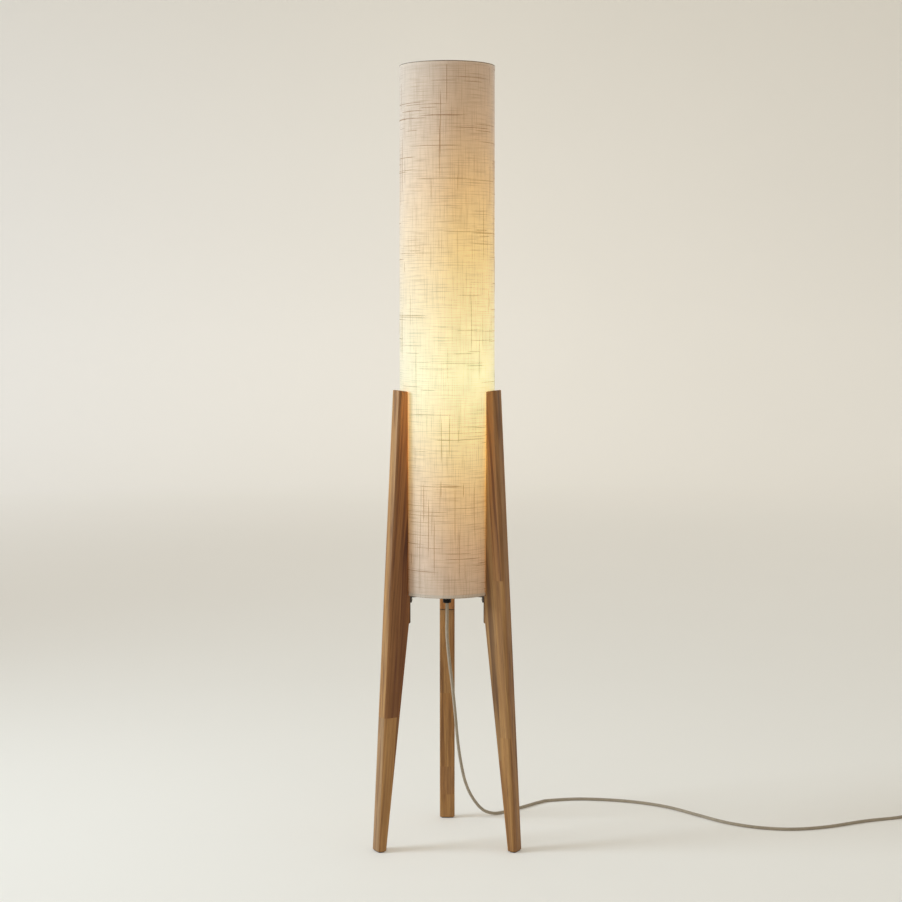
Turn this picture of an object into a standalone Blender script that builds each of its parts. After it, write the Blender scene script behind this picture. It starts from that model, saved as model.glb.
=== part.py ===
"""Tripod floor lamp: a tall linen shade held between three tapered wooden legs.

Metres, +Z up. The lamp's own axis is vertical. The front legs stand 60 degrees either side of -Y
and the rear leg points along +Y, so the middle of the footprint lies behind the lamp's axis, and
the origin is that middle, on the floor.
"""

import math

import bmesh
import bpy
from mathutils import Matrix, Vector

GAP = 0.0003  # clearance between two pieces that touch

# Shade
SHADE_RADIUS = 0.090
SHADE_BOTTOM = 0.4750
SHADE_TOP = 1.4642
FABRIC_THICKNESS = 0.0006
LINER_THICKNESS = 0.0005
RING_WIRE = 0.0015  # radius of the wire
TRIM_THICKNESS = 0.0004
TRIM_HEIGHT = 0.006
SHADE_SIDES = 64

# Legs: boards that stand on edge, radial to the lamp's axis
LEG_ANGLES = {"left": 210.0, "right": 330.0, "rear": 90.0}
LEG_THICKNESS = 0.0292
LEG_EDGE = 0.0042  # rounding of the long edges
LEG_TOP = 0.8590
TOP_SLOPE = 0.003  # the top cut falls this much towards the shade
TOP_INNER = 0.0912
TOP_OUTER = 0.1108
LEDGE_TOP = 0.4747
ABOVE_LEDGE_INNER = 0.0905
LEDGE_BOTTOM = 0.4235
LEDGE_INNER = 0.0858
BELOW_LEDGE_INNER = 0.0890
FOOT_INNER = 0.1378
FOOT_OUTER = 0.1548
GLIDE_THICKNESS = 0.0018

# The footprint's middle is the origin, and this is the lamp's axis there
AXIS_Y = -(FOOT_OUTER - SHADE_RADIUS) / 2

# Spider: the steel star that joins the legs and carries the tube
SPIDER_TOP = 0.4742
SPIDER_THICKNESS = 0.004
HUB_RADIUS = 0.021
ARM_WIDTH = 0.016
TAB_WIDTH = 0.020
TAB_BOTTOM = 0.4612
SCREW_SPREAD = 0.0065  # each screw's distance from the middle of its tab
SCREW_HEIGHT = 0.4664
SCREW_RADIUS = 0.00175
SCREW_LENGTH = 0.020
SCREW_HEAD_RADIUS = 0.0034

# Lamp tube and what clamps it
TUBE_RADIUS = 0.005
TUBE_BORE = 0.0038
TUBE_BOTTOM = 0.4590
HOLDER_BOTTOM = 0.7420
WASHER_THICKNESS = 0.0012
NUT_THICKNESS = 0.0050
NUT_ACROSS_FLATS = 0.014

# Cord grip under the spider
GRIP_RADIUS = 0.0077
GRIP_BOTTOM = 0.4527
GRIP_TOP = SPIDER_TOP - SPIDER_THICKNESS - 2 * GAP - WASHER_THICKNESS

# Lampholder and bulb, as heights above the lampholder's lower end
HOLDER_RADIUS = 0.0200
SLEEVE_RADIUS = 0.0140
CAP_RADIUS = 0.0131
CAP_BOTTOM = HOLDER_BOTTOM + 0.0375
CAP_TOP = CAP_BOTTOM + 0.0265
COLLAR_TOP = CAP_TOP + 0.0360
GLOBE_RADIUS = 0.030
GLOBE_CENTRE = COLLAR_TOP + 0.0146
BULB_SIDES = 24

# Cord and what lies on it
CORD_RADIUS = 0.003
SWITCH_PLACE = (0.984, 0.148)
SWITCH_TURN = 6.0  # degrees about Z
SWITCH_LENGTH = 0.074
SWITCH_WIDTH = 0.034
SWITCH_BASE_TOP = 0.0050
SWITCH_TOP = 0.0190
COVER_ROOF = 0.0022
CONTACTS_TOP = 0.0085
BUTTON_RADIUS = 0.0095
BUTTON_TRAVEL = 0.003
CORD_STEP = 0.0195  # between the points of the long tube
CORD_ENTRY = 0.0085  # height of the cord's middle where it enters the switch or the plug
RELIEF_LENGTH = 0.022
COIL_PLACE = (1.112, 0.202)
COIL_RADIUS = 0.034
COIL_LIFT = 0.0018
PLUG_PLACE = (1.008, 0.2540)
PLUG_TURN = -3.0
PLUG_LENGTH = 0.036
PLUG_WIDTH = 0.034
PLUG_HEIGHT = 0.0137
PLUG_RELIEF_LENGTH = 0.026
PIN_SPREAD = 0.0093  # each pin's distance from the plug's middle
PIN_RADIUS = 0.0020
PIN_LENGTH = 0.019
PIN_DEPTH = 0.008  # how far a pin reaches into the plug's body


# ---------------------------------------------------------------- tools


def clear_scene():
    for old in list(bpy.data.objects):
        bpy.data.objects.remove(old)


def finish_of(name, colour, roughness, metallic=0.0):
    """A plain material."""
    made = bpy.data.materials.new(name)
    made.use_nodes = True
    shader = made.node_tree.nodes["Principled BSDF"]
    shader.inputs["Base Color"].default_value = (*colour, 1.0)
    shader.inputs["Roughness"].default_value = roughness
    shader.inputs["Metallic"].default_value = metallic
    made.diffuse_color = (*colour, 1.0)
    return made


def placed(obj, material, place=(0, 0, 0), turn=0.0, parent=None):
    """Puts an object in the scene, at its place under the lamp's axis or another parent."""
    bpy.context.scene.collection.objects.link(obj)
    obj.data.materials.append(material)
    obj.location = place
    obj.rotation_euler = (0, 0, math.radians(turn))
    if parent:
        obj.parent = parent
    return obj


def guide(name, place, parent=None, turn=0.0):
    """An empty that carries pieces."""
    empty = bpy.data.objects.new(name, None)
    empty.empty_display_size = 0.02
    bpy.context.scene.collection.objects.link(empty)
    empty.location = place
    empty.rotation_euler = (0, 0, math.radians(turn))
    if parent:
        empty.parent = parent
    return empty


def mesh_object(name, shape, smooth_angle=35.0):
    bmesh.ops.remove_doubles(shape, verts=shape.verts, dist=1e-6)
    bmesh.ops.dissolve_degenerate(shape, edges=shape.edges, dist=1e-7)
    bmesh.ops.recalc_face_normals(shape, faces=shape.faces)
    mesh = bpy.data.meshes.new(name)
    shape.to_mesh(mesh)
    shape.free()
    mesh.shade_smooth()
    mesh.set_sharp_from_angle(angle=math.radians(smooth_angle))
    return bpy.data.objects.new(name, mesh)


def turned(name, profile, sides=32):
    """A solid turned about Z from a closed outline of (radius, height) points."""
    shape = bmesh.new()
    corners = [shape.verts.new((radius, 0, height)) for radius, height in profile]
    edges = []
    for here, there in zip(corners, corners[1:] + corners[:1]):
        if here.co.x > 0 or there.co.x > 0:
            edges.append(shape.edges.new((here, there)))
    bmesh.ops.spin(shape, geom=corners + edges, cent=(0, 0, 0), axis=(0, 0, 1),
                   angle=2 * math.pi, steps=sides, use_merge=False, use_duplicate=False)
    return mesh_object(name, shape)


def lofted(name, sections):
    """A solid through a pile of outlines that have the same number of points."""
    shape = bmesh.new()
    rings = [[shape.verts.new(point) for point in section] for section in sections]
    for lower, upper in zip(rings, rings[1:]):
        for i in range(len(lower)):
            j = (i + 1) % len(lower)
            shape.faces.new((lower[i], lower[j], upper[j], upper[i]))
    shape.faces.new(rings[0][::-1])
    shape.faces.new(rings[-1])
    return mesh_object(name, shape)


def prism(name, outline, low, high):
    """A straight solid on a flat outline of (x, y) points."""
    return lofted(name, [[(x, y, low) for x, y in outline], [(x, y, high) for x, y in outline]])


def arc(centre, radius, start, end, steps):
    """Points on a circle between two angles in degrees."""
    angles = [math.radians(start + (end - start) * i / steps) for i in range(steps + 1)]
    return [(centre[0] + radius * math.cos(a), centre[1] + radius * math.sin(a)) for a in angles]


def rounded_box(low_x, high_x, low_y, high_y, radius, steps=3):
    """The outline of a rectangle with round corners."""
    points = arc((high_x - radius, low_y + radius), radius, -90, 0, steps)
    points += arc((high_x - radius, high_y - radius), radius, 0, 90, steps)
    points += arc((low_x + radius, high_y - radius), radius, 90, 180, steps)
    points += arc((low_x + radius, low_y + radius), radius, 180, 270, steps)
    return points


def rod_along(name, start, end, radius, sides=16):
    """A plain round bar from one point to another."""
    start, end = Vector(start), Vector(end)
    shape = bmesh.new()
    facing = (end - start).to_track_quat("Z", "Y").to_matrix().to_4x4()
    bmesh.ops.create_cone(shape, cap_ends=True, segments=sides, radius1=radius, radius2=radius,
                          depth=(end - start).length,
                          matrix=Matrix.Translation((start + end) / 2) @ facing)
    return mesh_object(name, shape)


def combine(obj, tool, operation="DIFFERENCE", turn=0.0):
    """Takes a hidden tool's shape out of an object, or joins it on."""
    bpy.context.scene.collection.objects.link(tool)
    tool.rotation_euler = (0, 0, math.radians(turn))
    tool.hide_render = True
    tool.display_type = "WIRE"
    tool.parent = obj
    modifier = obj.modifiers.new(tool.name, "BOOLEAN")
    modifier.operation = operation
    modifier.object = tool


def smooth_route(points, spacing):
    """Evenly spaced points on a smooth curve through the given ones."""
    points = [Vector(point) for point in points]
    ends = [2 * points[0] - points[1]] + points + [2 * points[-1] - points[-2]]
    fine = []
    for before, here, there, after in zip(ends, ends[1:], ends[2:], ends[3:]):
        for step in range(24):
            t = step / 24
            fine.append(0.5 * (2 * here + (there - before) * t
                               + (2 * before - 5 * here + 4 * there - after) * t ** 2
                               + (3 * here - before - 3 * there + after) * t ** 3))
    fine.append(points[-1])
    lengths = [0.0]
    for here, there in zip(fine, fine[1:]):
        lengths.append(lengths[-1] + (there - here).length)
    count = max(2, round(lengths[-1] / spacing))
    route = []
    k = 0
    for i in range(count + 1):
        wanted = lengths[-1] * i / count
        while k < len(fine) - 2 and lengths[k + 1] < wanted:
            k += 1
        share = (wanted - lengths[k]) / (lengths[k + 1] - lengths[k])
        route.append(fine[k].lerp(fine[k + 1], share))
    return route


def cable(name, route, radius, resolution=2):
    """A round tube through the given points, with closed ends."""
    curve = bpy.data.curves.new(name, "CURVE")
    curve.dimensions = "3D"
    curve.bevel_depth = radius
    curve.bevel_resolution = resolution
    curve.use_fill_caps = True
    spline = curve.splines.new("POLY")
    spline.points.add(len(route) - 1)
    for point, place in zip(spline.points, route):
        point.co = (*place, 1.0)
    return bpy.data.objects.new(name, curve)


# ---------------------------------------------------------------- legs


def inner_edge(height):
    """How far the leg's inner edge is from the lamp's axis, below the ledge."""
    share = (height - GLIDE_THICKNESS) / (LEDGE_BOTTOM - GLIDE_THICKNESS)
    return FOOT_INNER + (BELOW_LEDGE_INNER - FOOT_INNER) * share


def outer_edge(height):
    share = (height - GLIDE_THICKNESS) / (LEG_TOP - GLIDE_THICKNESS)
    return FOOT_OUTER + (TOP_OUTER - FOOT_OUTER) * share


def leg_section(height, inner, slope=0.0, shrink=0.0):
    """The board's outline at one height. A slope lowers its inner side."""
    outer = outer_edge(height)
    half = LEG_THICKNESS / 2 - shrink
    outline = rounded_box(inner + shrink, outer - shrink, -half, half, LEG_EDGE)
    return [(x, y, height - slope * (outer - x) / (outer - inner)) for x, y in outline]


def leg(name, angle, lamp):
    end = 0.0015
    sections = [
        leg_section(GLIDE_THICKNESS, FOOT_INNER, shrink=end),
        leg_section(GLIDE_THICKNESS + end, inner_edge(GLIDE_THICKNESS + end)),
        leg_section(LEDGE_BOTTOM, BELOW_LEDGE_INNER),
        leg_section(LEDGE_BOTTOM, LEDGE_INNER),
        leg_section(LEDGE_TOP, LEDGE_INNER),
        leg_section(LEDGE_TOP, ABOVE_LEDGE_INNER),
        leg_section(LEG_TOP - end, TOP_INNER, slope=TOP_SLOPE),
        leg_section(LEG_TOP, TOP_INNER, slope=TOP_SLOPE, shrink=end),
    ]
    wood = finish_of(name + "_wood", (0.34, 0.18, 0.085), 0.55)
    made = placed(lofted(name, sections), wood, turn=angle, parent=lamp)
    for side in (-1, 1):
        start = (LEDGE_INNER - 0.002, side * SCREW_SPREAD, SCREW_HEIGHT)
        end_of_hole = (LEDGE_INNER + SCREW_LENGTH, side * SCREW_SPREAD, SCREW_HEIGHT)
        combine(made, rod_along(f"{name}_pilot_{side + 2}", start, end_of_hole,
                                SCREW_RADIUS + 2 * GAP, 12))


def glide(name, angle, lamp):
    outline = rounded_box(FOOT_INNER + 0.0025, FOOT_OUTER - 0.0025, -0.0115, 0.0115, 0.003)
    felt = finish_of(name + "_felt", (0.10, 0.08, 0.06), 0.95)
    placed(prism(name, outline, 0.0, GLIDE_THICKNESS - GAP), felt, turn=angle, parent=lamp)


def legs(lamp):
    for side, angle in LEG_ANGLES.items():
        leg(f"leg_{side}", angle, lamp)
        glide(f"glide_{side}", angle, lamp)


# ---------------------------------------------------------------- spider and tube


def star_outline(reach):
    """The flat star of hub and arms."""
    half = ARM_WIDTH / 2
    clear = math.degrees(math.asin(half / HUB_RADIUS))
    points = []
    for angle in sorted(LEG_ANGLES.values()):
        turn = math.radians(angle)
        for across in (-half, half):
            points.append((reach * math.cos(turn) - across * math.sin(turn),
                           reach * math.sin(turn) + across * math.cos(turn)))
        points += arc((0, 0), HUB_RADIUS, angle + clear, angle + 120 - clear, 6)
    return points


def box_mesh(name, low, high):
    outline = [(low[0], low[1]), (high[0], low[1]), (high[0], high[1]), (low[0], high[1])]
    return prism(name, outline, low[2], high[2])


def spider(lamp):
    """Hub and arms of one plate, with a tab turned down against each leg's ledge."""
    face = LEDGE_INNER - GAP
    back = face - SPIDER_THICKNESS
    reach = back + SPIDER_THICKNESS / 2
    made = prism("spider", star_outline(reach), SPIDER_TOP - SPIDER_THICKNESS, SPIDER_TOP)
    steel = finish_of("spider_steel", (0.025, 0.025, 0.027), 0.5, 0.4)
    placed(made, steel, parent=lamp)
    for side, angle in LEG_ANGLES.items():
        tab = box_mesh(f"spider_tab_{side}", (back, -TAB_WIDTH / 2, TAB_BOTTOM),
                       (face, TAB_WIDTH / 2, SPIDER_TOP))
        combine(made, tab, "UNION", turn=angle)
    for side, angle in LEG_ANGLES.items():
        for across in (-1, 1):
            tool = rod_along(f"spider_hole_{side}_{across + 2}",
                             (back - 0.001, across * SCREW_SPREAD, SCREW_HEIGHT),
                             (face + 0.001, across * SCREW_SPREAD, SCREW_HEIGHT),
                             SCREW_RADIUS + 2 * GAP, 12)
            combine(made, tool, turn=angle)
    combine(made, rod_along("spider_bore", (0, 0, SPIDER_TOP - 0.01), (0, 0, SPIDER_TOP + 0.01),
                            TUBE_RADIUS + GAP, 24))


def wood_screw(name):
    """A pan-head screw that lies along +X, its head's face at the origin."""
    head = 0.0022
    thread = SCREW_RADIUS
    profile = [(0, head), (SCREW_HEAD_RADIUS * 0.6, head), (SCREW_HEAD_RADIUS, head * 0.4),
               (SCREW_HEAD_RADIUS, 0), (thread, 0), (thread, -SCREW_LENGTH + 0.004),
               (0, -SCREW_LENGTH)]
    made = turned(name, profile, 12)
    made.data.transform(Matrix.Rotation(math.radians(-90), 4, "Y"))
    return made


def spider_screws(lamp):
    """Two wood screws through each tab into its leg."""
    back = LEDGE_INNER - GAP - SPIDER_THICKNESS
    zinc = finish_of("screw_zinc", (0.60, 0.58, 0.52), 0.35, 1.0)
    for side, angle in LEG_ANGLES.items():
        for number, across in ((1, -SCREW_SPREAD), (2, SCREW_SPREAD)):
            screw = wood_screw(f"spider_screw_{side}_{number}")
            screw.data.transform(Matrix.Translation((back - GAP, across, SCREW_HEIGHT)))
            placed(screw, zinc, turn=angle, parent=lamp)


def lamp_tube(lamp):
    top = HOLDER_BOTTOM + 0.010
    profile = [(TUBE_BORE, TUBE_BOTTOM), (TUBE_RADIUS, TUBE_BOTTOM), (TUBE_RADIUS, top),
               (TUBE_BORE, top)]
    steel = finish_of("tube_steel", (0.45, 0.45, 0.46), 0.35, 1.0)
    placed(turned("lamp_tube", profile, 24), steel, parent=lamp)


def ring_profile(inner, outer, low, high):
    return [(inner, low), (outer, low), (outer, high), (inner, high)]


def tube_washers(lamp):
    """One washer on each side of the spider's hub."""
    zinc = finish_of("washer_zinc", (0.62, 0.60, 0.55), 0.35, 1.0)
    under = SPIDER_TOP - SPIDER_THICKNESS - GAP - WASHER_THICKNESS
    for end, bottom in (("lower", under), ("upper", SPIDER_TOP + GAP)):
        profile = ring_profile(TUBE_RADIUS + GAP, 0.0095, bottom, bottom + WASHER_THICKNESS)
        placed(turned(f"tube_washer_{end}", profile, 24), zinc, parent=lamp)


def hex_nut(name, bottom):
    """A hexagon with a round bore, joined face by face."""
    sides = 24
    bore = arc((0, 0), TUBE_RADIUS + GAP, 0, 360, sides)[:-1]
    flats = []
    for i in range(sides):
        angle = 360 * i / sides
        off_middle = math.radians((angle + 30) % 60 - 30)
        flats.append(NUT_ACROSS_FLATS / 2 / math.cos(off_middle))
    rim = [(r * math.cos(2 * math.pi * i / sides), r * math.sin(2 * math.pi * i / sides))
           for i, r in enumerate(flats)]
    shape = bmesh.new()
    rings = []
    for outline, height in ((bore, bottom), (rim, bottom), (rim, bottom + NUT_THICKNESS),
                            (bore, bottom + NUT_THICKNESS)):
        rings.append([shape.verts.new((x, y, height)) for x, y in outline])
    for lower, upper in zip(rings, rings[1:] + rings[:1]):
        for i in range(sides):
            j = (i + 1) % sides
            shape.faces.new((lower[i], lower[j], upper[j], upper[i]))
    return mesh_object(name, shape, 25.0)


def tube_nuts(lamp):
    """One nut clamps the spider, the other locks the lampholder."""
    on_spider = SPIDER_TOP + 2 * GAP + WASHER_THICKNESS
    under_holder = HOLDER_BOTTOM - GAP - NUT_THICKNESS
    zinc = finish_of("nut_zinc", (0.62, 0.60, 0.55), 0.32, 1.0)
    placed(hex_nut("tube_nut_lower", on_spider), zinc, parent=lamp)
    placed(hex_nut("tube_nut_upper", under_holder), zinc, parent=lamp)


def cord_grip(lamp):
    """The black grip below the spider: it takes the tube's end and clamps the cord."""
    bore = CORD_RADIUS + GAP
    seat = TUBE_BOTTOM - GAP
    wide = TUBE_RADIUS + GAP
    profile = [(bore, GRIP_BOTTOM), (GRIP_RADIUS - 0.001, GRIP_BOTTOM),
               (GRIP_RADIUS, GRIP_BOTTOM + 0.001), (GRIP_RADIUS, GRIP_TOP - 0.0005),
               (GRIP_RADIUS - 0.0005, GRIP_TOP), (wide, GRIP_TOP), (wide, seat), (bore, seat)]
    black = finish_of("cord_grip_plastic", (0.012, 0.011, 0.011), 0.45)
    made = placed(turned("cord_grip", profile, 24), black, parent=lamp)
    middle = (GRIP_BOTTOM + seat) / 2
    combine(made, rod_along("grip_hole", (0, 0, middle), (0, 0.012, middle), 0.0016, 12))
    profile = [(0, 0), (0.0012, 0), (0.0012, 0.0050), (0.0024, 0.0050), (0.0024, 0.0068),
               (0.0018, 0.0072), (0, 0.0072)]
    screw = turned("cord_grip_screw", profile, 12)
    screw.data.transform(Matrix.Translation((0, CORD_RADIUS + GAP, middle))
                         @ Matrix.Rotation(math.radians(-90), 4, "X"))
    nylon = finish_of("grip_screw_nylon", (0.02, 0.02, 0.02), 0.4)
    placed(screw, nylon, parent=lamp)


def supply_cable(lamp):
    """The cord's own end, inside the tube."""
    top = HOLDER_BOTTOM + 0.014
    jacket = finish_of("supply_cable_textile", (0.36, 0.31, 0.25), 0.9)
    bottom = GRIP_BOTTOM + GAP
    placed(rod_along("supply_cable", (0, 0, bottom), (0, 0, top), CORD_RADIUS, 12), jacket,
           parent=lamp)
    colours = {"live": (0.25, 0.10, 0.04), "neutral": (0.03, 0.12, 0.42)}
    for side, (name, colour) in zip((-1, 1), colours.items()):
        # Each wire climbs from the cable to its own terminal beside the contact block.
        points = [(side * 0.0014, 0, top + GAP), (side * 0.0018, 0.0004, top + 0.002),
                  (side * 0.0040, 0.0020, top + 0.0045), (side * 0.0080, 0.0050, top + 0.0060),
                  (side * 0.0100, 0.0075, top + 0.0072), (side * 0.0105, 0.0085, top + 0.0082)]
        made = cable(f"wire_{name}", smooth_route(points, 0.0022), 0.0009)
        placed(made, finish_of(f"wire_{name}_pvc", colour, 0.5), parent=lamp)


# ---------------------------------------------------------------- lampholder and bulb


def holder_base(lamp):
    """The lower cover: a cup that screws onto the tube's end."""
    low = HOLDER_BOTTOM
    wall = 0.0018
    bore = TUBE_RADIUS + GAP
    profile = [(bore, low), (0.0095, low), (0.0105, low + 0.001), (0.0110, low + 0.007),
               (0.0160, low + 0.012), (HOLDER_RADIUS, low + 0.019), (HOLDER_RADIUS, low + 0.028),
               (HOLDER_RADIUS - wall, low + 0.028), (HOLDER_RADIUS - wall, low + 0.0195),
               (0.0150, low + 0.0135), (0.0115, low + 0.0110), (bore, low + 0.0110)]
    black = finish_of("holder_base_plastic", (0.014, 0.014, 0.014), 0.4)
    placed(turned("holder_base", profile, BULB_SIDES), black, parent=lamp)


def holder_shell(lamp):
    """The upper cover, threaded outside for a shade ring."""
    low = HOLDER_BOTTOM + 0.028 + GAP
    high = HOLDER_BOTTOM + 0.056
    wall = 0.0017
    rim = SLEEVE_RADIUS + 0.0006 + GAP
    profile = [(HOLDER_RADIUS - wall, low), (HOLDER_RADIUS, low), (HOLDER_RADIUS, low + 0.004),
               (HOLDER_RADIUS - 0.0012, low + 0.005)]
    for turn in range(3):
        start = low + 0.007 + 0.005 * turn
        profile += [(HOLDER_RADIUS - 0.0012, start), (HOLDER_RADIUS - 0.0004, start + 0.0020),
                    (HOLDER_RADIUS - 0.0012, start + 0.0040)]
    profile += [(HOLDER_RADIUS - 0.0012, high - 0.001), (HOLDER_RADIUS - 0.0022, high),
                (rim, high), (rim, high - 0.002), (HOLDER_RADIUS - 0.0012 - wall, high - 0.002),
                (HOLDER_RADIUS - 0.0012 - wall, low + 0.0055)]
    black = finish_of("holder_shell_plastic", (0.014, 0.014, 0.014), 0.4)
    placed(turned("holder_shell", profile, BULB_SIDES), black, parent=lamp)


def holder_insert(lamp):
    """The ceramic block that carries the contacts."""
    low = HOLDER_BOTTOM + 0.0240
    high = HOLDER_BOTTOM + 0.0325
    rim = HOLDER_RADIUS - 0.0012 - 0.0017 - GAP
    profile = [(0, low), (rim - 0.0006, low), (rim, low + 0.0006), (rim, high), (0, high)]
    ceramic = finish_of("holder_insert_ceramic", (0.80, 0.78, 0.72), 0.35)
    placed(turned("holder_insert", profile, BULB_SIDES), ceramic, parent=lamp)


def thread_sleeve(lamp):
    """The threaded sleeve that the bulb's cap screws into."""
    low = HOLDER_BOTTOM + 0.0325 + GAP
    high = HOLDER_BOTTOM + 0.0555
    wall = 0.0004
    outer = SLEEVE_RADIUS + 0.0006
    profile = [(outer, low), (outer, high), (outer - wall, high), (outer - wall, low)]
    brass = finish_of("thread_sleeve_brass", (0.72, 0.56, 0.28), 0.3, 1.0)
    placed(turned("thread_sleeve", profile, BULB_SIDES), brass, parent=lamp)


def centre_contact(lamp):
    """The sprung strip under the bulb's tip: flat on the block, arched in the middle."""
    low = HOLDER_BOTTOM + 0.0325 + GAP
    peak = CAP_BOTTOM - GAP
    thick = 0.0005
    under = [(-0.0095, low), (-0.0060, low), (-0.0025, peak - thick), (0.0025, peak - thick),
             (0.0060, low), (0.0095, low)]
    over = [(x, z + thick) for x, z in under]
    outline = under + over[::-1]
    half = 0.0025
    sections = [[(x, y, z) for x, z in outline] for y in (-half, half)]
    brass = finish_of("centre_contact_brass", (0.76, 0.60, 0.32), 0.28, 1.0)
    placed(lofted("centre_contact", sections), brass, parent=lamp)


def terminal_screws(lamp):
    """The two screws that hold the wires, under the contact block."""
    low = HOLDER_BOTTOM + 0.0240 - GAP
    brass = finish_of("terminal_brass", (0.74, 0.60, 0.33), 0.3, 1.0)
    profile = [(0, low - 0.0028), (0.0021, low - 0.0028), (0.0024, low - 0.0024),
               (0.0024, low - 0.0010), (0.0014, low - 0.0010), (0.0014, low), (0, low)]
    for side, name in ((-1, "live"), (1, "neutral")):
        screw = turned(f"terminal_screw_{name}", profile, 12)
        placed(screw, brass, (side * 0.0100, -0.0060, 0), parent=lamp)


def bulb_tip(carrier):
    """The solder contact and black glass at the end of the cap."""
    profile = [(0, 0), (0.0022, 0), (0.0032, 0.0006), (0.0046, 0.0010), (0.0046, 0.0022),
               (0, 0.0022)]
    tin = finish_of("bulb_tip_tin", (0.5, 0.5, 0.5), 0.4, 1.0)
    placed(turned("bulb_tip", profile, 24), tin, parent=carrier)


def bulb_cap(carrier):
    """The screw cap, a thin shell with a rolled thread, open at both ends."""
    low = 0.0022 + GAP
    high = CAP_TOP - CAP_BOTTOM
    inner = CAP_RADIUS - 0.0016
    profile = [(0.0046, low), (0.0080, low + 0.0020), (CAP_RADIUS - 0.0012, low + 0.0045)]
    for turn in range(5):
        start = low + 0.0060 + 0.0036 * turn
        profile += [(CAP_RADIUS - 0.0009, start), (CAP_RADIUS, start + 0.0018)]
    profile += [(CAP_RADIUS - 0.0006, high), (inner, high), (inner, low + 0.0052),
                (0.0076, low + 0.0030), (0.0042, low + 0.0012)]
    nickel = finish_of("bulb_cap_nickel", (0.66, 0.64, 0.60), 0.25, 1.0)
    placed(turned("bulb_cap", profile, BULB_SIDES), nickel, parent=carrier)


def bulb_collar(carrier):
    """The bulb's white body, which cools the light board."""
    low = CAP_TOP - CAP_BOTTOM + GAP
    high = COLLAR_TOP - CAP_BOTTOM
    wall = 0.0014
    profile = [(CAP_RADIUS - 0.0020, low), (CAP_RADIUS + 0.0004, low),
               (CAP_RADIUS + 0.0010, low + 0.003), (0.0190, low + 0.018),
               (0.0240, low + 0.028), (0.0262, high), (0.0262 - wall, high),
               (0.0240 - wall, low + 0.0285), (0.0190 - wall, low + 0.0185),
               (CAP_RADIUS - 0.0004, low + 0.0035), (CAP_RADIUS - 0.0020, low + 0.001)]
    white = finish_of("bulb_collar_plastic", (0.85, 0.85, 0.83), 0.4)
    placed(turned("bulb_collar", profile, BULB_SIDES), white, parent=carrier)


def bulb_board(carrier):
    """The aluminium disc with its ring of light-emitting chips."""
    low = COLLAR_TOP - CAP_BOTTOM + GAP
    face = low + 0.0012
    profile = [(0, low), (0.0225, low), (0.0225, face), (0.0165, face), (0.0160, face + 0.0009),
               (0.0125, face + 0.0009), (0.0120, face), (0, face)]
    aluminium = finish_of("bulb_board_aluminium", (0.8, 0.8, 0.8), 0.35, 1.0)
    placed(turned("bulb_board", profile, BULB_SIDES), aluminium, parent=carrier)


def bulb_globe(carrier):
    """The opal dome, open below, around the board."""
    low = COLLAR_TOP - CAP_BOTTOM + GAP
    centre = GLOBE_CENTRE - CAP_BOTTOM
    wall = 0.0011
    start = math.degrees(math.asin((low - centre) / GLOBE_RADIUS))
    inner_start = math.degrees(math.asin((low - centre) / (GLOBE_RADIUS - wall)))
    outside = arc((0, centre), GLOBE_RADIUS, start, 90, 8)
    inside = arc((0, centre), GLOBE_RADIUS - wall, 90, inner_start, 8)
    outside[-1] = (0, centre + GLOBE_RADIUS)
    inside[0] = (0, centre + GLOBE_RADIUS - wall)
    opal = finish_of("bulb_globe_opal", (0.95, 0.93, 0.88), 0.35)
    placed(turned("bulb_globe", outside + inside, BULB_SIDES), opal, parent=carrier)


def lampholder_and_bulb(lamp):
    holder_base(lamp)
    holder_shell(lamp)
    holder_insert(lamp)
    thread_sleeve(lamp)
    centre_contact(lamp)
    terminal_screws(lamp)
    carrier = guide("bulb_axis", (0, 0, CAP_BOTTOM), lamp)
    bulb_tip(carrier)
    bulb_cap(carrier)
    bulb_collar(carrier)
    bulb_board(carrier)
    bulb_globe(carrier)


# ---------------------------------------------------------------- shade


def shade(lamp):
    """Linen on a stiff liner, with a wire ring and an edge binding at each end."""
    carrier = guide("shade_axis", (0, 0, SHADE_BOTTOM), lamp)
    height = SHADE_TOP - SHADE_BOTTOM
    skin = SHADE_RADIUS - TRIM_THICKNESS
    lining = skin - FABRIC_THICKNESS - GAP
    hollow = lining - LINER_THICKNESS
    linen = finish_of("shade_linen", (0.80, 0.72, 0.58), 0.9)
    styrene = finish_of("liner_styrene", (0.88, 0.85, 0.78), 0.5)
    wire = finish_of("ring_wire", (0.80, 0.79, 0.76), 0.4)
    placed(turned("shade_fabric", ring_profile(skin - FABRIC_THICKNESS, skin, 0, height),
                  SHADE_SIDES), linen, parent=carrier)
    placed(turned("shade_liner", ring_profile(hollow, lining, TRIM_HEIGHT / 2,
                                              height - TRIM_HEIGHT / 2), SHADE_SIDES),
           styrene, parent=carrier)
    middle = hollow - GAP - RING_WIRE
    for end, level in (("bottom", TRIM_HEIGHT / 2 + RING_WIRE), ("top", height - 0.0060)):
        circle = arc((middle, level), RING_WIRE, 0, 360, 6)[:-1]
        placed(turned(f"shade_ring_{end}", circle, 48), wire, parent=carrier)
    for end, low in (("bottom", 0.0), ("top", height - TRIM_HEIGHT)):
        binding = finish_of(f"trim_{end}_tape", (0.62, 0.55, 0.44), 0.9)
        made = turned(f"shade_trim_{end}",
                      ring_profile(skin + GAP / 3, SHADE_RADIUS, low, low + TRIM_HEIGHT),
                      SHADE_SIDES)
        placed(made, binding, parent=carrier)


# ---------------------------------------------------------------- cord


def from_axis(points):
    """Places measured from the lamp's axis, moved into the part's frame."""
    return [(x, y + AXIS_Y, z) for x, y, z in points]


FLOOR = CORD_RADIUS  # height of the cord's middle where it lies

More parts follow.
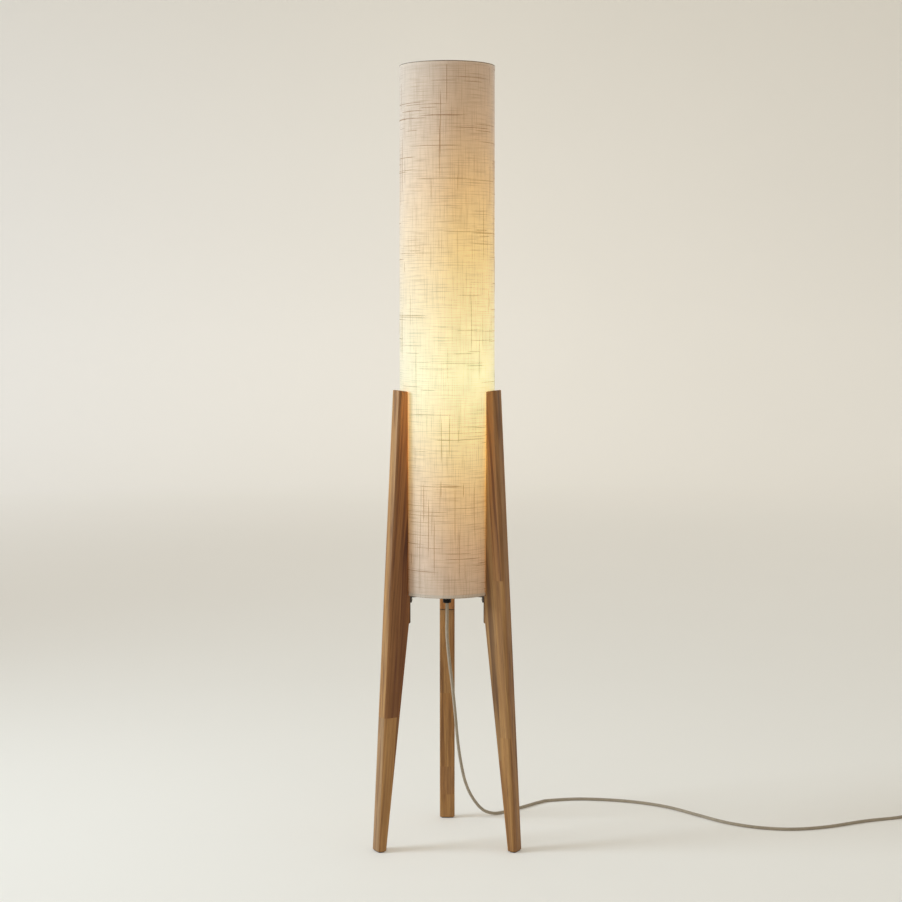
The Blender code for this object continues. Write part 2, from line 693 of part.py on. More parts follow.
# From the grip straight down, then in a long curve behind the right leg and away to the right
CORD_ROUTE = [
    (0.0000, 0.0000, 0.4524),
    (0.0000, 0.0005, 0.4240),
    (0.0000, 0.0040, 0.3880),
    (0.0046, 0.0110, 0.3350),
    (0.0100, 0.0215, 0.2900),
    (0.0152, 0.0360, 0.2350),
    (0.0202, 0.0540, 0.1760),
    (0.0268, 0.0710, 0.1270),
    (0.0358, 0.0900, 0.0840),
    (0.0492, 0.1115, 0.0490),
    (0.0672, 0.1340, 0.0205),
    (0.0850, 0.1510, 0.0070),
    (0.1047, 0.1640, FLOOR),
    (0.1470, 0.2003, FLOOR),
    (0.1880, 0.2400, FLOOR),
    (0.2110, 0.2530, FLOOR),
    (0.2790, 0.2630, FLOOR),
    (0.3680, 0.2460, FLOOR),
    (0.4410, 0.2070, FLOOR),
    (0.4970, 0.1490, FLOOR),
    (0.5330, 0.1100, FLOOR),
    (0.5660, 0.0840, FLOOR),
    (0.6120, 0.0620, FLOOR),
    (0.6700, 0.0540, FLOOR),
    (0.7380, 0.0695, FLOOR),
    (0.8210, 0.1080, FLOOR),
    (0.8940, 0.1330, FLOOR),
]


def ahead(place, turn, along, across=0.0):
    """A place on the floor, measured forwards and to the left from a piece that is turned."""
    angle = math.radians(turn)
    return (place[0] + along * math.cos(angle) - across * math.sin(angle),
            place[1] + along * math.sin(angle) + across * math.cos(angle))


def relief(name, length, root, material, parent, place, turn):
    """A tapered sleeve around the cord, its root at the origin and its tip towards +X."""
    bore = CORD_RADIUS + GAP
    outer = [(root, 0.0)]
    for i in range(3):
        start = length * (0.15 + 0.25 * i)
        radius = root + (0.0042 - root) * start / length
        outer += [(radius, start), (radius - 0.0008, start + 0.0014),
                  (radius - 0.0002, start + 0.0032)]
    outer += [(0.0042, length)]
    made = turned(name, outer + [(bore, length), (bore, 0.0)], 14)
    made.data.transform(Matrix.Rotation(math.radians(90), 4, "Y"))
    placed(made, material, place, turn, parent)


def switch_outline(grow=0.0):
    half_x = SWITCH_LENGTH / 2 + grow
    half_y = SWITCH_WIDTH / 2 + grow
    return rounded_box(-half_x, half_x, -half_y, half_y, half_y - 0.002, 6)


def switch_body(carrier):
    """Base plate and hollow cover, with a hole for the button and one at each end."""
    rubber = finish_of("switch_base_rubber", (0.03, 0.03, 0.03), 0.7)
    plate = lofted("switch_base", [
        [(x, y, 0.0) for x, y in switch_outline(-0.0012)],
        [(x, y, 0.0012) for x, y in switch_outline()],
        [(x, y, SWITCH_BASE_TOP) for x, y in switch_outline()],
    ])
    placed(plate, rubber, parent=carrier)
    plastic = finish_of("switch_cover_plastic", (0.03, 0.03, 0.03), 0.45)
    cover = lofted("switch_cover", [
        [(x, y, SWITCH_BASE_TOP + GAP) for x, y in switch_outline()],
        [(x, y, SWITCH_TOP - 0.004) for x, y in switch_outline(-0.0006)],
        [(x, y, SWITCH_TOP - 0.0012) for x, y in switch_outline(-0.0026)],
        [(x, y, SWITCH_TOP) for x, y in switch_outline(-0.0052)],
    ])
    placed(cover, plastic, parent=carrier)
    wall = 0.0030
    combine(cover, prism("switch_cavity", switch_outline(-wall), 0.0, SWITCH_TOP - COVER_ROOF))
    combine(cover, rod_along("switch_button_hole", (0, 0, 0.012), (0, 0, 0.03),
                             BUTTON_RADIUS + 0.0004, 28))
    reach = SWITCH_LENGTH / 2 + 0.004
    combine(cover, rod_along("switch_cord_hole", (-reach, 0, CORD_ENTRY),
                             (reach, 0, CORD_ENTRY), CORD_RADIUS + GAP, 12))
    grey = finish_of("relief_rubber", (0.03, 0.03, 0.03), 0.6)
    start = SWITCH_LENGTH / 2 + GAP
    relief("switch_relief_in", RELIEF_LENGTH, 0.0058, grey, carrier, (-start, 0, CORD_ENTRY), 180)
    relief("switch_relief_out", RELIEF_LENGTH, 0.0058, grey, carrier, (start, 0, CORD_ENTRY), 0)


def switch_parts(carrier):
    """Button, its spring and the contact block inside the cover."""
    flange_high = SWITCH_TOP - COVER_ROOF - GAP
    flange_low = flange_high - 0.0014
    top = SWITCH_TOP + BUTTON_TRAVEL + 0.0012
    hollow = top - 0.0020
    profile = [(0.0040, flange_low), (BUTTON_RADIUS + 0.0015, flange_low),
               (BUTTON_RADIUS + 0.0015, flange_high), (BUTTON_RADIUS, flange_high),
               (BUTTON_RADIUS, top - 0.0012), (BUTTON_RADIUS - 0.0012, top), (0, top),
               (0, hollow), (0.0040, hollow)]
    plastic = finish_of("switch_button_plastic", (0.05, 0.05, 0.05), 0.35)
    placed(turned("switch_button", profile, 28), plastic, parent=carrier)
    block = prism("switch_contacts", rounded_box(-0.011, 0.011, -0.008, 0.008, 0.001, 2),
                  SWITCH_BASE_TOP + GAP, CONTACTS_TOP)
    placed(block, finish_of("switch_contacts_phenolic", (0.24, 0.12, 0.06), 0.5), parent=carrier)
    wire = 0.0003
    low = CONTACTS_TOP + GAP + wire
    high = hollow - GAP - wire
    turns = 3
    steps = 10 * turns
    coil = []
    for i in range(steps + 1):
        angle = 2 * math.pi * turns * i / steps
        # The first and last tenth lie flat, as a ground spring's ends do.
        rise = min(max((i / steps - 0.1) / 0.8, 0.0), 1.0)
        coil.append((0.0031 * math.cos(angle), 0.0031 * math.sin(angle),
                     low + (high - low) * rise))
    steel = finish_of("switch_spring_steel", (0.7, 0.7, 0.7), 0.3, 1.0)
    placed(cable("switch_spring", coil, wire, 1), steel, parent=carrier)


def coil_ring():
    """The outer shape of the stored turns, and the strap that ties them."""
    low = COIL_LIFT
    wide = 2 * CORD_RADIUS + GAP
    profile = [(COIL_RADIUS - wide, low + 0.0015), (COIL_RADIUS - wide + 0.0015, low),
               (COIL_RADIUS + wide - 0.0015, low), (COIL_RADIUS + wide, low + 0.0015),
               (COIL_RADIUS + wide, low + 0.0045), (COIL_RADIUS + 0.0032, low + 0.0112),
               (COIL_RADIUS - 0.0032, low + 0.0112), (COIL_RADIUS - wide, low + 0.0045)]
    place = (COIL_PLACE[0], COIL_PLACE[1] + AXIS_Y, 0)
    textile = finish_of("cord_coil_textile", (0.40, 0.35, 0.28), 0.9)
    placed(turned("cord_coil", profile, 32), textile, place)
    inner = COIL_RADIUS - wide - 0.0006
    outer = COIL_RADIUS + wide + 0.0006
    hole = rounded_box(inner, outer, low - 0.0006, low + 0.0122, 0.0018, 3)
    skin = rounded_box(inner - 0.0009, outer + 0.0009, low - 0.0015, low + 0.0131, 0.0027, 3)
    shape = bmesh.new()
    rings = []
    for outline, y in ((hole, -0.004), (skin, -0.004), (skin, 0.004), (hole, 0.004)):
        rings.append([shape.verts.new((x, y, z)) for x, z in outline])
    for first, second in zip(rings, rings[1:] + rings[:1]):
        for i in range(len(first)):
            j = (i + 1) % len(first)
            shape.faces.new((first[i], first[j], second[j], second[i]))
    black = finish_of("coil_tie_velcro", (0.02, 0.02, 0.02), 0.9)
    placed(mesh_object("coil_tie", shape), black, place, turn=-20.0)


def plug():
    """A flat two-pin plug lying on its side, with a tapered relief."""
    place = (PLUG_PLACE[0], PLUG_PLACE[1] + AXIS_Y, 0)
    carrier = guide("plug_place", place, turn=PLUG_TURN)
    half = PLUG_HEIGHT / 2
    sections = []
    for x, share in ((0.0, 1.0), (0.014, 1.0), (0.024, 0.80), (PLUG_LENGTH, 0.42)):
        reach = max(PLUG_WIDTH / 2 * share, 0.0066)
        outline = rounded_box(-reach, reach, 0.0, PLUG_HEIGHT, 0.0045, 3)
        sections.append([(x, y, z) for y, z in outline])
    black = finish_of("plug_body_plastic", (0.02, 0.02, 0.02), 0.4)
    body = placed(lofted("plug_body", sections), black, parent=carrier)
    for side in (-1, 1):
        combine(body, rod_along(f"pin_hole_{side + 2}", (-0.002, side * PIN_SPREAD, half),
                                (PIN_DEPTH + 0.001, side * PIN_SPREAD, half),
                                PIN_RADIUS + GAP, 16))
    combine(body, rod_along("plug_cord_hole", (PLUG_LENGTH - 0.012, 0, half),
                            (PLUG_LENGTH + 0.002, 0, half), CORD_RADIUS + GAP, 12))
    nickel = finish_of("plug_pin_nickel", (0.75, 0.74, 0.70), 0.25, 1.0)
    profile = [(0, -PIN_LENGTH), (PIN_RADIUS - 0.0008, -PIN_LENGTH),
               (PIN_RADIUS, -PIN_LENGTH + 0.0015), (PIN_RADIUS, PIN_DEPTH), (0, PIN_DEPTH)]
    for side, name in ((-1, "right"), (1, "left")):
        pin = turned(f"plug_pin_{name}", profile, 16)
        pin.data.transform(Matrix.Rotation(math.radians(90), 4, "Y"))
        placed(pin, nickel, (0, side * PIN_SPREAD, half), parent=carrier)
    rubber = finish_of("plug_relief_rubber", (0.02, 0.02, 0.02), 0.55)
    start = (PLUG_LENGTH + GAP, 0, half)
    relief("plug_relief", PLUG_RELIEF_LENGTH, 0.0058, rubber, carrier, start, 0)


def cord():
    """The free cord: one tube to the switch, one on to the coil and one from there to the plug."""
    textile = finish_of("cord_textile", (0.40, 0.35, 0.28), 0.9)
    # The cord runs straight through each relief, from just outside its mouth to inside its piece.
    mouth = SWITCH_LENGTH / 2 + RELIEF_LENGTH + 0.002
    inside = SWITCH_LENGTH / 2 - 0.006
    before = [(*ahead(SWITCH_PLACE, SWITCH_TURN, -mouth), CORD_ENTRY)]
    inner = [(*ahead(SWITCH_PLACE, SWITCH_TURN, -inside), CORD_ENTRY)]
    run = smooth_route(from_axis(CORD_ROUTE + before), CORD_STEP) + from_axis(inner)
    placed(cable("cord_run", run, CORD_RADIUS), textile)
    beside = COIL_RADIUS + 3 * CORD_RADIUS + 2 * GAP
    arrives = (COIL_PLACE[0], COIL_PLACE[1] - beside)
    inner = [(*ahead(SWITCH_PLACE, SWITCH_TURN, inside), CORD_ENTRY)]
    after = [(*ahead(SWITCH_PLACE, SWITCH_TURN, mouth), CORD_ENTRY)]
    link = after + [(arrives[0] - 0.020, arrives[1], FLOOR), (*arrives, FLOOR)]
    placed(cable("cord_link", from_axis(inner) + smooth_route(from_axis(link), 0.010),
                 CORD_RADIUS), textile)
    half = PLUG_HEIGHT / 2
    leaves = (COIL_PLACE[0], COIL_PLACE[1] + beside)
    mouth = PLUG_LENGTH + PLUG_RELIEF_LENGTH + 0.002
    lead = [(*leaves, FLOOR), (leaves[0] - 0.016, leaves[1], FLOOR)]
    lead.append((*ahead(PLUG_PLACE, PLUG_TURN, mouth), half))
    inner = [(*ahead(PLUG_PLACE, PLUG_TURN, PLUG_LENGTH - 0.010), half)]
    placed(cable("cord_lead", smooth_route(from_axis(lead), 0.010) + from_axis(inner),
                 CORD_RADIUS), textile)


def foot_switch():
    place = (SWITCH_PLACE[0], SWITCH_PLACE[1] + AXIS_Y, 0)
    carrier = guide("switch_axis", place, turn=SWITCH_TURN)
    switch_body(carrier)
    switch_parts(carrier)


def main():
    clear_scene()
    lamp = guide("lamp_axis", (0, AXIS_Y, 0))
    legs(lamp)
    spider(lamp)
    spider_screws(lamp)
    lamp_tube(lamp)
    tube_washers(lamp)
    tube_nuts(lamp)
    cord_grip(lamp)
    supply_cable(lamp)
    lampholder_and_bulb(lamp)
    shade(lamp)
    cord()
    foot_switch()
    coil_ring()
    plug()


main()
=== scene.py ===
"""Looks of the tripod floor lamp: linen shade, acacia legs, textile cord, holder, bulb and switch.

Metres, +Z up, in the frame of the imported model. Places come from the model's own boxes, and the
cord's route is the one that the model's cord follows.
"""

import math
import random

import bmesh
import bpy
from mathutils import Matrix, Vector, noise


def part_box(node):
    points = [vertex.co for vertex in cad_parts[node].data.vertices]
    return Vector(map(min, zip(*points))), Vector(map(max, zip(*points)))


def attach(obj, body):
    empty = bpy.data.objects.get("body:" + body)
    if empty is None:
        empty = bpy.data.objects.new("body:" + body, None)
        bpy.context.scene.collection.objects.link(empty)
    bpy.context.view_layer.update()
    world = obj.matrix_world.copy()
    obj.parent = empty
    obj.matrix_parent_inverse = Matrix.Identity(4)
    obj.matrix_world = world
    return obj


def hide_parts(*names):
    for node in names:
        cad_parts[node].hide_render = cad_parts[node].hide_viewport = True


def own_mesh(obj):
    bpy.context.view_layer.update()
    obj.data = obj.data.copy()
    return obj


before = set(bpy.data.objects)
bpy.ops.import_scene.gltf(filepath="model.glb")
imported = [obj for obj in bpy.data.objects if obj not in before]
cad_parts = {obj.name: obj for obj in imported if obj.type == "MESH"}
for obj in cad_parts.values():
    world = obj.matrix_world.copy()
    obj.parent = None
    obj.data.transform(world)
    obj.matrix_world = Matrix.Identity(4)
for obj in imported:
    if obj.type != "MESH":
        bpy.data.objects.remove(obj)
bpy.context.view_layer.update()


# ------------------------ places


def middle(node):
    low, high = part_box(node)
    return (low + high) / 2


AXIS = Vector((middle("lamp_tube").x, middle("lamp_tube").y, 0.0))
SIDES = ("left", "right", "rear")

SHADE_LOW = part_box("shade_fabric")[0].z
SHADE_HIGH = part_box("shade_fabric")[1].z
SHADE_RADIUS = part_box("shade_fabric")[1].x - AXIS.x
BINDING_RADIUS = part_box("shade_trim_top")[1].x - AXIS.x
HEM_WIRE = 0.0013
BULB_Z = middle("bulb_globe").z
BULB_LIGHT = 9.0  # watts that reach the legs through the cloth
BULB_COLOUR = (1.0, 0.62, 0.20)

# The camera stands in front, above the lamp's middle, and looks slightly down
CAMERA_DISTANCE = 3.3934
CAMERA_X = 0.0074
CAMERA_Z = 1.0343
CAMERA_LENS = 71.84
CAMERA_PITCH = 2.0  # degrees below level
CAMERA_SHIFT = -0.1027

# Soft daylight from the left, and a pale sky all round
KEY_PLACE = (-3.7, -0.7, 1.9)
KEY_TARGET = (0.0, 0.0, 1.2)
KEY_SIZE = 1.7
KEY_POWER = 40.0
KEY_SPREAD = 90.0
KEY_COLOUR = (0.72, 0.86, 1.0)
SKY_COLOUR = (1.0, 0.975, 0.905)
SKY_STRENGTH = 0.64

# The backdrop: a flat floor out to a radius, then a curve up into an upright wall
FLAT_RADIUS = 6.5
CURVE_RADIUS = 3.0
WALL_TOP = 7.0
BACKDROP_SIDES = 96
BACKDROP_DROP = 0.00005  # keeps the floor just under the feet and the cord
# Its painted light's spread: across, outwards and up
WASH_WIDTH = 7.0
WASH_REACH = 10.0
WASH_HEIGHT = 5.0

# Cord: its middle lies one radius above the floor. Turns are in degrees.
CORD_RADIUS = 0.003
CORD_STEP = 0.0025
FLOOR = CORD_RADIUS
CORD_ENTRY = 0.0085
SWITCH_PLACE = (0.984, 0.148)
SWITCH_TURN = 6.0
SWITCH_LENGTH = 0.074
RELIEF_LENGTH = 0.022
COIL_PLACE = (1.112, 0.202)
PLUG_PLACE = (1.008, 0.2540)
PLUG_TURN = -3.0
PLUG_LENGTH = 0.036
PLUG_RELIEF_LENGTH = 0.026
PLUG_HEIGHT = 0.0137

# From the grip straight down, then behind the right leg and away to the right
CORD_ROUTE = [
    (0.0000, 0.0000, 0.4524),
    (0.0000, 0.0005, 0.4240),
    (0.0000, 0.0040, 0.3880),
    (0.0046, 0.0110, 0.3350),
    (0.0100, 0.0215, 0.2900),
    (0.0152, 0.0360, 0.2350),
    (0.0202, 0.0540, 0.1760),
    (0.0268, 0.0710, 0.1270),
    (0.0358, 0.0900, 0.0840),
    (0.0492, 0.1115, 0.0490),
    (0.0672, 0.1340, 0.0205),
    (0.0850, 0.1510, 0.0070),
    (0.1047, 0.1640, FLOOR),
    (0.1470, 0.2003, FLOOR),
    (0.1880, 0.2400, FLOOR),
    (0.2110, 0.2530, FLOOR),
    (0.2790, 0.2630, FLOOR),
    (0.3680, 0.2460, FLOOR),
    (0.4410, 0.2070, FLOOR),
    (0.4970, 0.1490, FLOOR),
    (0.5330, 0.1100, FLOOR),
    (0.5660, 0.0840, FLOOR),
    (0.6120, 0.0620, FLOOR),
    (0.6700, 0.0540, FLOOR),
    (0.7380, 0.0695, FLOOR),
    (0.8210, 0.1080, FLOOR),
    (0.8940, 0.1330, FLOOR),
]

# The coil: turns so far, distance from the coil's middle, height. Two turns lie side by side and
# a third on top, which comes out over them and down to the floor.
COIL_TURNS = [
    (0.00, 0.0436, 0.0030),
    (0.30, 0.0374, 0.0048),
    (0.85, 0.0372, 0.0048),
    (1.10, 0.0308, 0.0048),
    (1.65, 0.0308, 0.0048),
    (1.85, 0.0340, 0.0106),
    (2.55, 0.0340, 0.0106),
    (2.85, 0.0400, 0.0103),
    (3.10, 0.0412, 0.0092),
    (3.22, 0.0426, 0.0082),
    (3.34, 0.0434, 0.0052),
    (3.50, 0.0436, 0.0030),
]
COIL_STEPS = 40  # points in each turn


# ------------------------ shapes


# Points closer than this, in metres, become one
TOUCHING = 1e-9
SMALLEST = 1e-7
WELD = 1e-6

# Faces that meet at a wider angle than this, in degrees, have a sharp edge between them
SOFT_EDGE = 60.0
TURNED_EDGE = 80.0
THREAD_EDGE = 50.0
LEG_EDGE = 42.0
BEVELLED_EDGE = 30.0
FLAT_ENOUGH = 0.6

CURVE_STEPS = 24  # between two points of a route


def at_angle(centre, reach, angle, height):
    """A point this far from a centre, at an angle and a height."""
    return (centre[0] + reach * math.cos(angle), centre[1] + reach * math.sin(angle), height)


def in_scene(obj, *finishes):
    """Adds an object to the scene, with its materials."""
    bpy.context.scene.collection.objects.link(obj)
    for finish in finishes:
        obj.data.materials.append(finish)
    return obj


def as_mesh(name, shape, sharp=SOFT_EDGE, merge=TOUCHING):
    """The mesh object of a bmesh, shaded smooth except at its edges."""
    bmesh.ops.remove_doubles(shape, verts=shape.verts, dist=merge)
    bmesh.ops.recalc_face_normals(shape, faces=shape.faces)
    mesh = bpy.data.meshes.new(name)
    shape.to_mesh(mesh)
    shape.free()
    mesh.shade_smooth()
    mesh.set_sharp_from_angle(angle=math.radians(sharp))
    return bpy.data.objects.new(name, mesh)


def bridge(shape, rings, closed=False):
    """Faces between one loop of points and the next."""
    pairs = list(zip(rings, rings[1:]))
    if closed:
        pairs.append((rings[-1], rings[0]))
    for lower, upper in pairs:
        for i in range(len(lower)):
            j = (i + 1) % len(lower)
            shape.faces.new((lower[i], lower[j], upper[j], upper[i]))


def strip(shape, layer, lower, upper, girth, low, high, flip=False):
    """Faces between two loops, with their place along the girth and from low to high."""
    sides = len(lower)
    for i in range(sides):
        j = (i + 1) % sides
        left, right = girth * i / sides, girth * (i + 1) / sides
        corners = [lower[i], lower[j], upper[j], upper[i]]
        places = [(left, low), (right, low), (right, high), (left, high)]
        if flip:
            corners, places = corners[::-1], places[::-1]
        for loop, place in zip(shape.faces.new(corners).loops, places):
            loop[layer].uv = place


def circle(shape, radius, height, sides, wave=None):
    """A loop of points about the lamp's axis; wave gives what an angle adds to the radius."""
    loop = []
    for i in range(sides):
        angle = 2 * math.pi * i / sides
        reach = max(radius, SMALLEST) + (wave(angle) if wave else 0.0)
        loop.append(shape.verts.new(at_angle(AXIS, reach, angle, height)))
    return loop


def turned(name, profile, sides, closed=True):
    """A shape turned about the lamp's axis from (radius, height) points."""
    shape = bmesh.new()
    bridge(shape, [circle(shape, radius, height, sides) for radius, height in profile], closed)
    return as_mesh(name, shape, TURNED_EDGE, merge=3 * SMALLEST)


def refined(name, node, bevel, segments):
    """A finer copy of a CAD node: whole faces, rounded edges and smooth shading."""
    shape = bmesh.new()
    shape.from_mesh(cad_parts[node].data)
    bmesh.ops.remove_doubles(shape, verts=shape.verts, dist=WELD)
    bmesh.ops.dissolve_limit(shape, angle_limit=math.radians(FLAT_ENOUGH), verts=shape.verts,
                             edges=shape.edges)
    piece = as_mesh(name, shape, 180.0, WELD)
    if bevel:
        rounding = piece.modifiers.new("rounded edges", "BEVEL")
        rounding.width = bevel
        rounding.segments = segments
        rounding.limit_method = "ANGLE"
        rounding.angle_limit = math.radians(BEVELLED_EDGE)
        rounding.harden_normals = True
    return piece


def stands_for(piece, body, slot, *nodes):
    """Puts a new piece on its body in place of CAD nodes."""
    if nodes:
        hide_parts(*nodes)
    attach(piece, body)
    return piece


def smooth_route(points, spacing):
    """Evenly spaced points on a smooth curve through the given ones."""
    points = [Vector(point) for point in points]
    ends = [2 * points[0] - points[1]] + points + [2 * points[-1] - points[-2]]
    fine = []
    for before, here, there, after in zip(ends, ends[1:], ends[2:], ends[3:]):
        for step in range(CURVE_STEPS):
            t = step / CURVE_STEPS
            fine.append(0.5 * (2 * here + (there - before) * t
                               + (2 * before - 5 * here + 4 * there - after) * t ** 2
                               + (3 * here - before - 3 * there + after) * t ** 3))
    fine.append(points[-1])
    return evenly(fine, spacing)


def evenly(line, spacing):
    """Points on a line, all about the given spacing apart."""
    lengths = [0.0]
    for here, there in zip(line, line[1:]):
        lengths.append(lengths[-1] + (there - here).length)
    count = max(2, round(lengths[-1] / spacing))
    route = []
    k = 0
    for i in range(count + 1):
        wanted = lengths[-1] * i / count
        while k < len(line) - 2 and lengths[k + 1] < wanted:
            k += 1
        share = (wanted - lengths[k]) / max(lengths[k + 1] - lengths[k], 1e-9)
        route.append(line[k].lerp(line[k + 1], share))
    return route


# ------------------------ finishes


class Finish:
    """A material, with short ways to add nodes to it."""

    def __init__(self, name, roughness=0.5, metallic=0.0):
        self.material = bpy.data.materials.new(name)
        self.material.use_nodes = True
        self.nodes = self.material.node_tree.nodes
        self.shader = self.nodes["Principled BSDF"]
        self.set("Metallic", metallic)
        self.set("Roughness", roughness)

    def add(self, kind, inputs=None, **settings):
        node = self.nodes.new(kind)
        for key, value in settings.items():
            setattr(node, key, value)
        for key, value in (inputs or {}).items():
            self.join(value, node.inputs[key])
        return node

    def join(self, value, socket):
        if isinstance(value, bpy.types.NodeSocket):
            self.material.node_tree.links.new(value, socket)
        else:
            socket.default_value = value

    def math(self, operation, *values):
        return self.add("ShaderNodeMath", dict(enumerate(values)), operation=operation).outputs[0]

    def parts(self, place):
        """X, Y and Z of a place."""
        return self.add("ShaderNodeSeparateXYZ", {0: place}).outputs

    def where(self, scale=(1, 1, 1), shift=(0, 0, 0), lean=0.0):
        """The object's own coordinates, turned about Y by lean and then stretched."""
        place = self.add("ShaderNodeTexCoord").outputs["Object"]
        if lean:
            place = self.add("ShaderNodeMapping", {"Vector": place,
                                                   "Rotation": (0, lean, 0)}).outputs[0]
        return self.add("ShaderNodeMapping", {"Vector": place, "Scale": scale,
                                              "Location": shift}).outputs[0]

    def noise(self, where, scale, detail=3.0, roughness=0.55, distortion=0.0):
        return self.add("ShaderNodeTexNoise", {
            "Vector": where, "Scale": scale, "Detail": detail, "Roughness": roughness,
            "Distortion": distortion}).outputs["Fac"]

    def ramp(self, value, *stops):
        """Colours or shares between stops, each a place from 0 to 1 and what it gives."""
        node = self.add("ShaderNodeValToRGB", {"Fac": value})
        elements = node.color_ramp.elements
        while len(elements) < len(stops):
            elements.new(0.5)
        for element, (place, given) in zip(elements, stops):
            element.position = place
            colour = given if isinstance(given, tuple) else (given, given, given)
            element.color = (*colour, 1.0)
        return node.outputs["Color"]

    def between(self, value, first, second):
        """What a drifting value, mostly from 0.3 to 0.7, makes of two colours or shares."""
        return self.ramp(value, (0.3, first), (0.7, second))

    def mix(self, share, first, second, blend="MIX"):
        """Two colours, each a tuple or a socket."""
        node = self.add("ShaderNodeMix", {"Factor": share}, data_type="RGBA", blend_type=blend)
        for value, socket in ((first, node.inputs[6]), (second, node.inputs[7])):
            self.join((*value, 1.0) if isinstance(value, tuple) else value, socket)
        return node.outputs[2]

    def product(self, first, second):
        return self.mix(1.0, first, second, "MULTIPLY")

    def set(self, socket, value):
        self.join(value, self.shader.inputs[socket])

    def glow(self, colour, strength=1.0):
        self.set("Emission Color", colour)
        self.set("Emission Strength", strength)

    def bump(self, height, strength, distance):
        node = self.add("ShaderNodeBump", {"Height": height, "Strength": strength,
                                           "Distance": distance})
        self.set("Normal", node.outputs[0])


WHITE = (1.0, 1.0, 1.0)


def shade_of(colour, factor):
    return tuple(min(1.0, part * factor) for part in colour)


def moulded(name, colour, roughness, grain, depth, gloss=0.5):
    """Moulded, cast or coated stuff: fine grain, and colour and gloss that drift a little."""
    finish = Finish(name, roughness)
    finish.set("Specular IOR Level", gloss)
    where = finish.where()
    drift = finish.noise(where, 60.0)
    finish.set("Base Color", finish.between(drift, shade_of(colour, 0.88), shade_of(colour, 1.12)))
    finish.set("Roughness", finish.between(drift, roughness + 0.05, roughness - 0.04))
    finish.bump(finish.noise(where, grain, 2.0), 0.35, depth)
    return finish.material


def metal(name, colour, roughness, scale=900.0, along=1.0, depth=0.00003):
    """Metal with faint stains and fine grain; a small figure along Z draws it out into lines."""
    finish = Finish(name, roughness, 1.0)
    lines = finish.noise(finish.where((1, 1, along)), scale, 2.0)
    stains = finish.noise(finish.where(), 45.0, 4.0)
    finish.set("Base Color", finish.between(stains, shade_of(colour, 0.84), colour))
    finish.set("Roughness", finish.between(lines, roughness - 0.07, roughness + 0.1))
    finish.bump(lines, 0.3, depth)
    return finish.material


LEG_LEAN = 0.084  # radians by which the grain leans in towards the legs' tops


def acacia(name, dark, middle_tone, light, shift):
    """Oiled acacia: long streaks, a broad drift of tone, fine fibres and short dark pores."""
    finish = Finish(name, 0.5)
    place = (shift * 0.37, shift * 0.21, shift * 0.53)

    def grain(stretch, *noise_settings):
        return finish.noise(finish.where((1, 1, stretch), place, LEG_LEAN), *noise_settings)

    broad = grain(0.03, 95.0, 3.0, 0.5, 0.5)
    bands = grain(0.016, 260.0, 3.0, 0.55, 0.3)
    fibres = grain(0.012, 760.0, 3.0, 0.6)
    pores = grain(0.04, 950.0, 1.0)
    tone = finish.ramp(broad, (0.34, dark), (0.43, middle_tone), (0.60, light),
                       (0.76, middle_tone))
    tone = finish.mix(0.38, tone, finish.ramp(bands, (0.36, (0.52, 0.45, 0.36)),
                                             (0.50, 1.0), (0.64, (1.28, 1.30, 1.32))),
                      "MULTIPLY")
    tone = finish.mix(0.5, tone, finish.ramp(fibres, (0.34, (0.70, 0.66, 0.60)),
                                             (0.64, 1.15)), "MULTIPLY")
    open_pore = finish.ramp(pores, (0.66, 0.0), (0.74, 1.0))
    tone = finish.mix(finish.math("MULTIPLY", open_pore, 0.4), tone, shade_of(dark, 0.4))
    finish.set("Base Color", tone)
    finish.set("Roughness", finish.between(fibres, 0.60, 0.42))
    height = finish.math("SUBTRACT", fibres, finish.math("MULTIPLY", open_pore, 0.8))
    finish.bump(height, 0.35, 0.00018)
    finish.set("Specular IOR Level", 0.38)
    finish.set("Coat Weight", 0.06)
    finish.set("Coat Roughness", 0.4)
    return finish.material


# Warm light through the cloth, by height from the shade's lower end up
GLOW = [
    (0.475, (0.150, 0.055, 0.008)),
    (0.560, (0.270, 0.110, 0.010)),
    (0.670, (0.460, 0.250, 0.040)),
    (0.780, (0.680, 0.510, 0.170)),
    (0.880, (0.770, 0.690, 0.330)),
    (1.000, (0.680, 0.520, 0.190)),
    (1.110, (0.580, 0.370, 0.070)),
    (1.230, (0.430, 0.220, 0.020)),
    (1.340, (0.240, 0.100, 0.008)),
    (1.460, (0.130, 0.045, 0.004)),
]
GLOW_WIDTH = 0.2  # over which it grows from the left, where it is painted weaker on the side that daylight falls on


def from_guide(finish, light_place):
    """A point's place as seen from a guide that stays on the stand, so the shade can lift."""
    return finish.parts(finish.add("ShaderNodeTexCoord", object=light_place).outputs["Object"])


def glow_of(finish, light_place, share=1.0):
    """The glow's colour at a point's height and place across."""
    place = from_guide(finish, light_place)
    low, high = GLOW[0][0], GLOW[-1][0]
    along = finish.math("DIVIDE", finish.math("SUBTRACT", place["Z"], low), high - low)
    stops = [((z - low) / (high - low), shade_of(colour, share)) for z, colour in GLOW]
    # Painted light: the glow is weaker on the shade's left side and a little stronger on its right
    aside = finish.math("ADD", finish.math("DIVIDE", place["X"], GLOW_WIDTH), 0.5)
    return finish.product(finish.ramp(along, *stops), finish.ramp(
        aside, (0.08, 0.58), (0.30, 0.80), (0.52, 0.97), (0.90, 1.06)))


def washed_out(finish, light_place, most):
    """How far the light drowns the yarns' own colour: most of all beside the bulb."""
    brightest = BULB_Z + 0.03
    height = from_guide(finish, light_place)["Z"]
    off = finish.math("ABSOLUTE", finish.math("SUBTRACT", height, brightest))
    return finish.ramp(finish.math("MULTIPLY", off, 3.0), (0.15, most), (0.68, 0.0))


YARN_PITCH = 0.0012
WEAVE_DEPTH = 0.00016


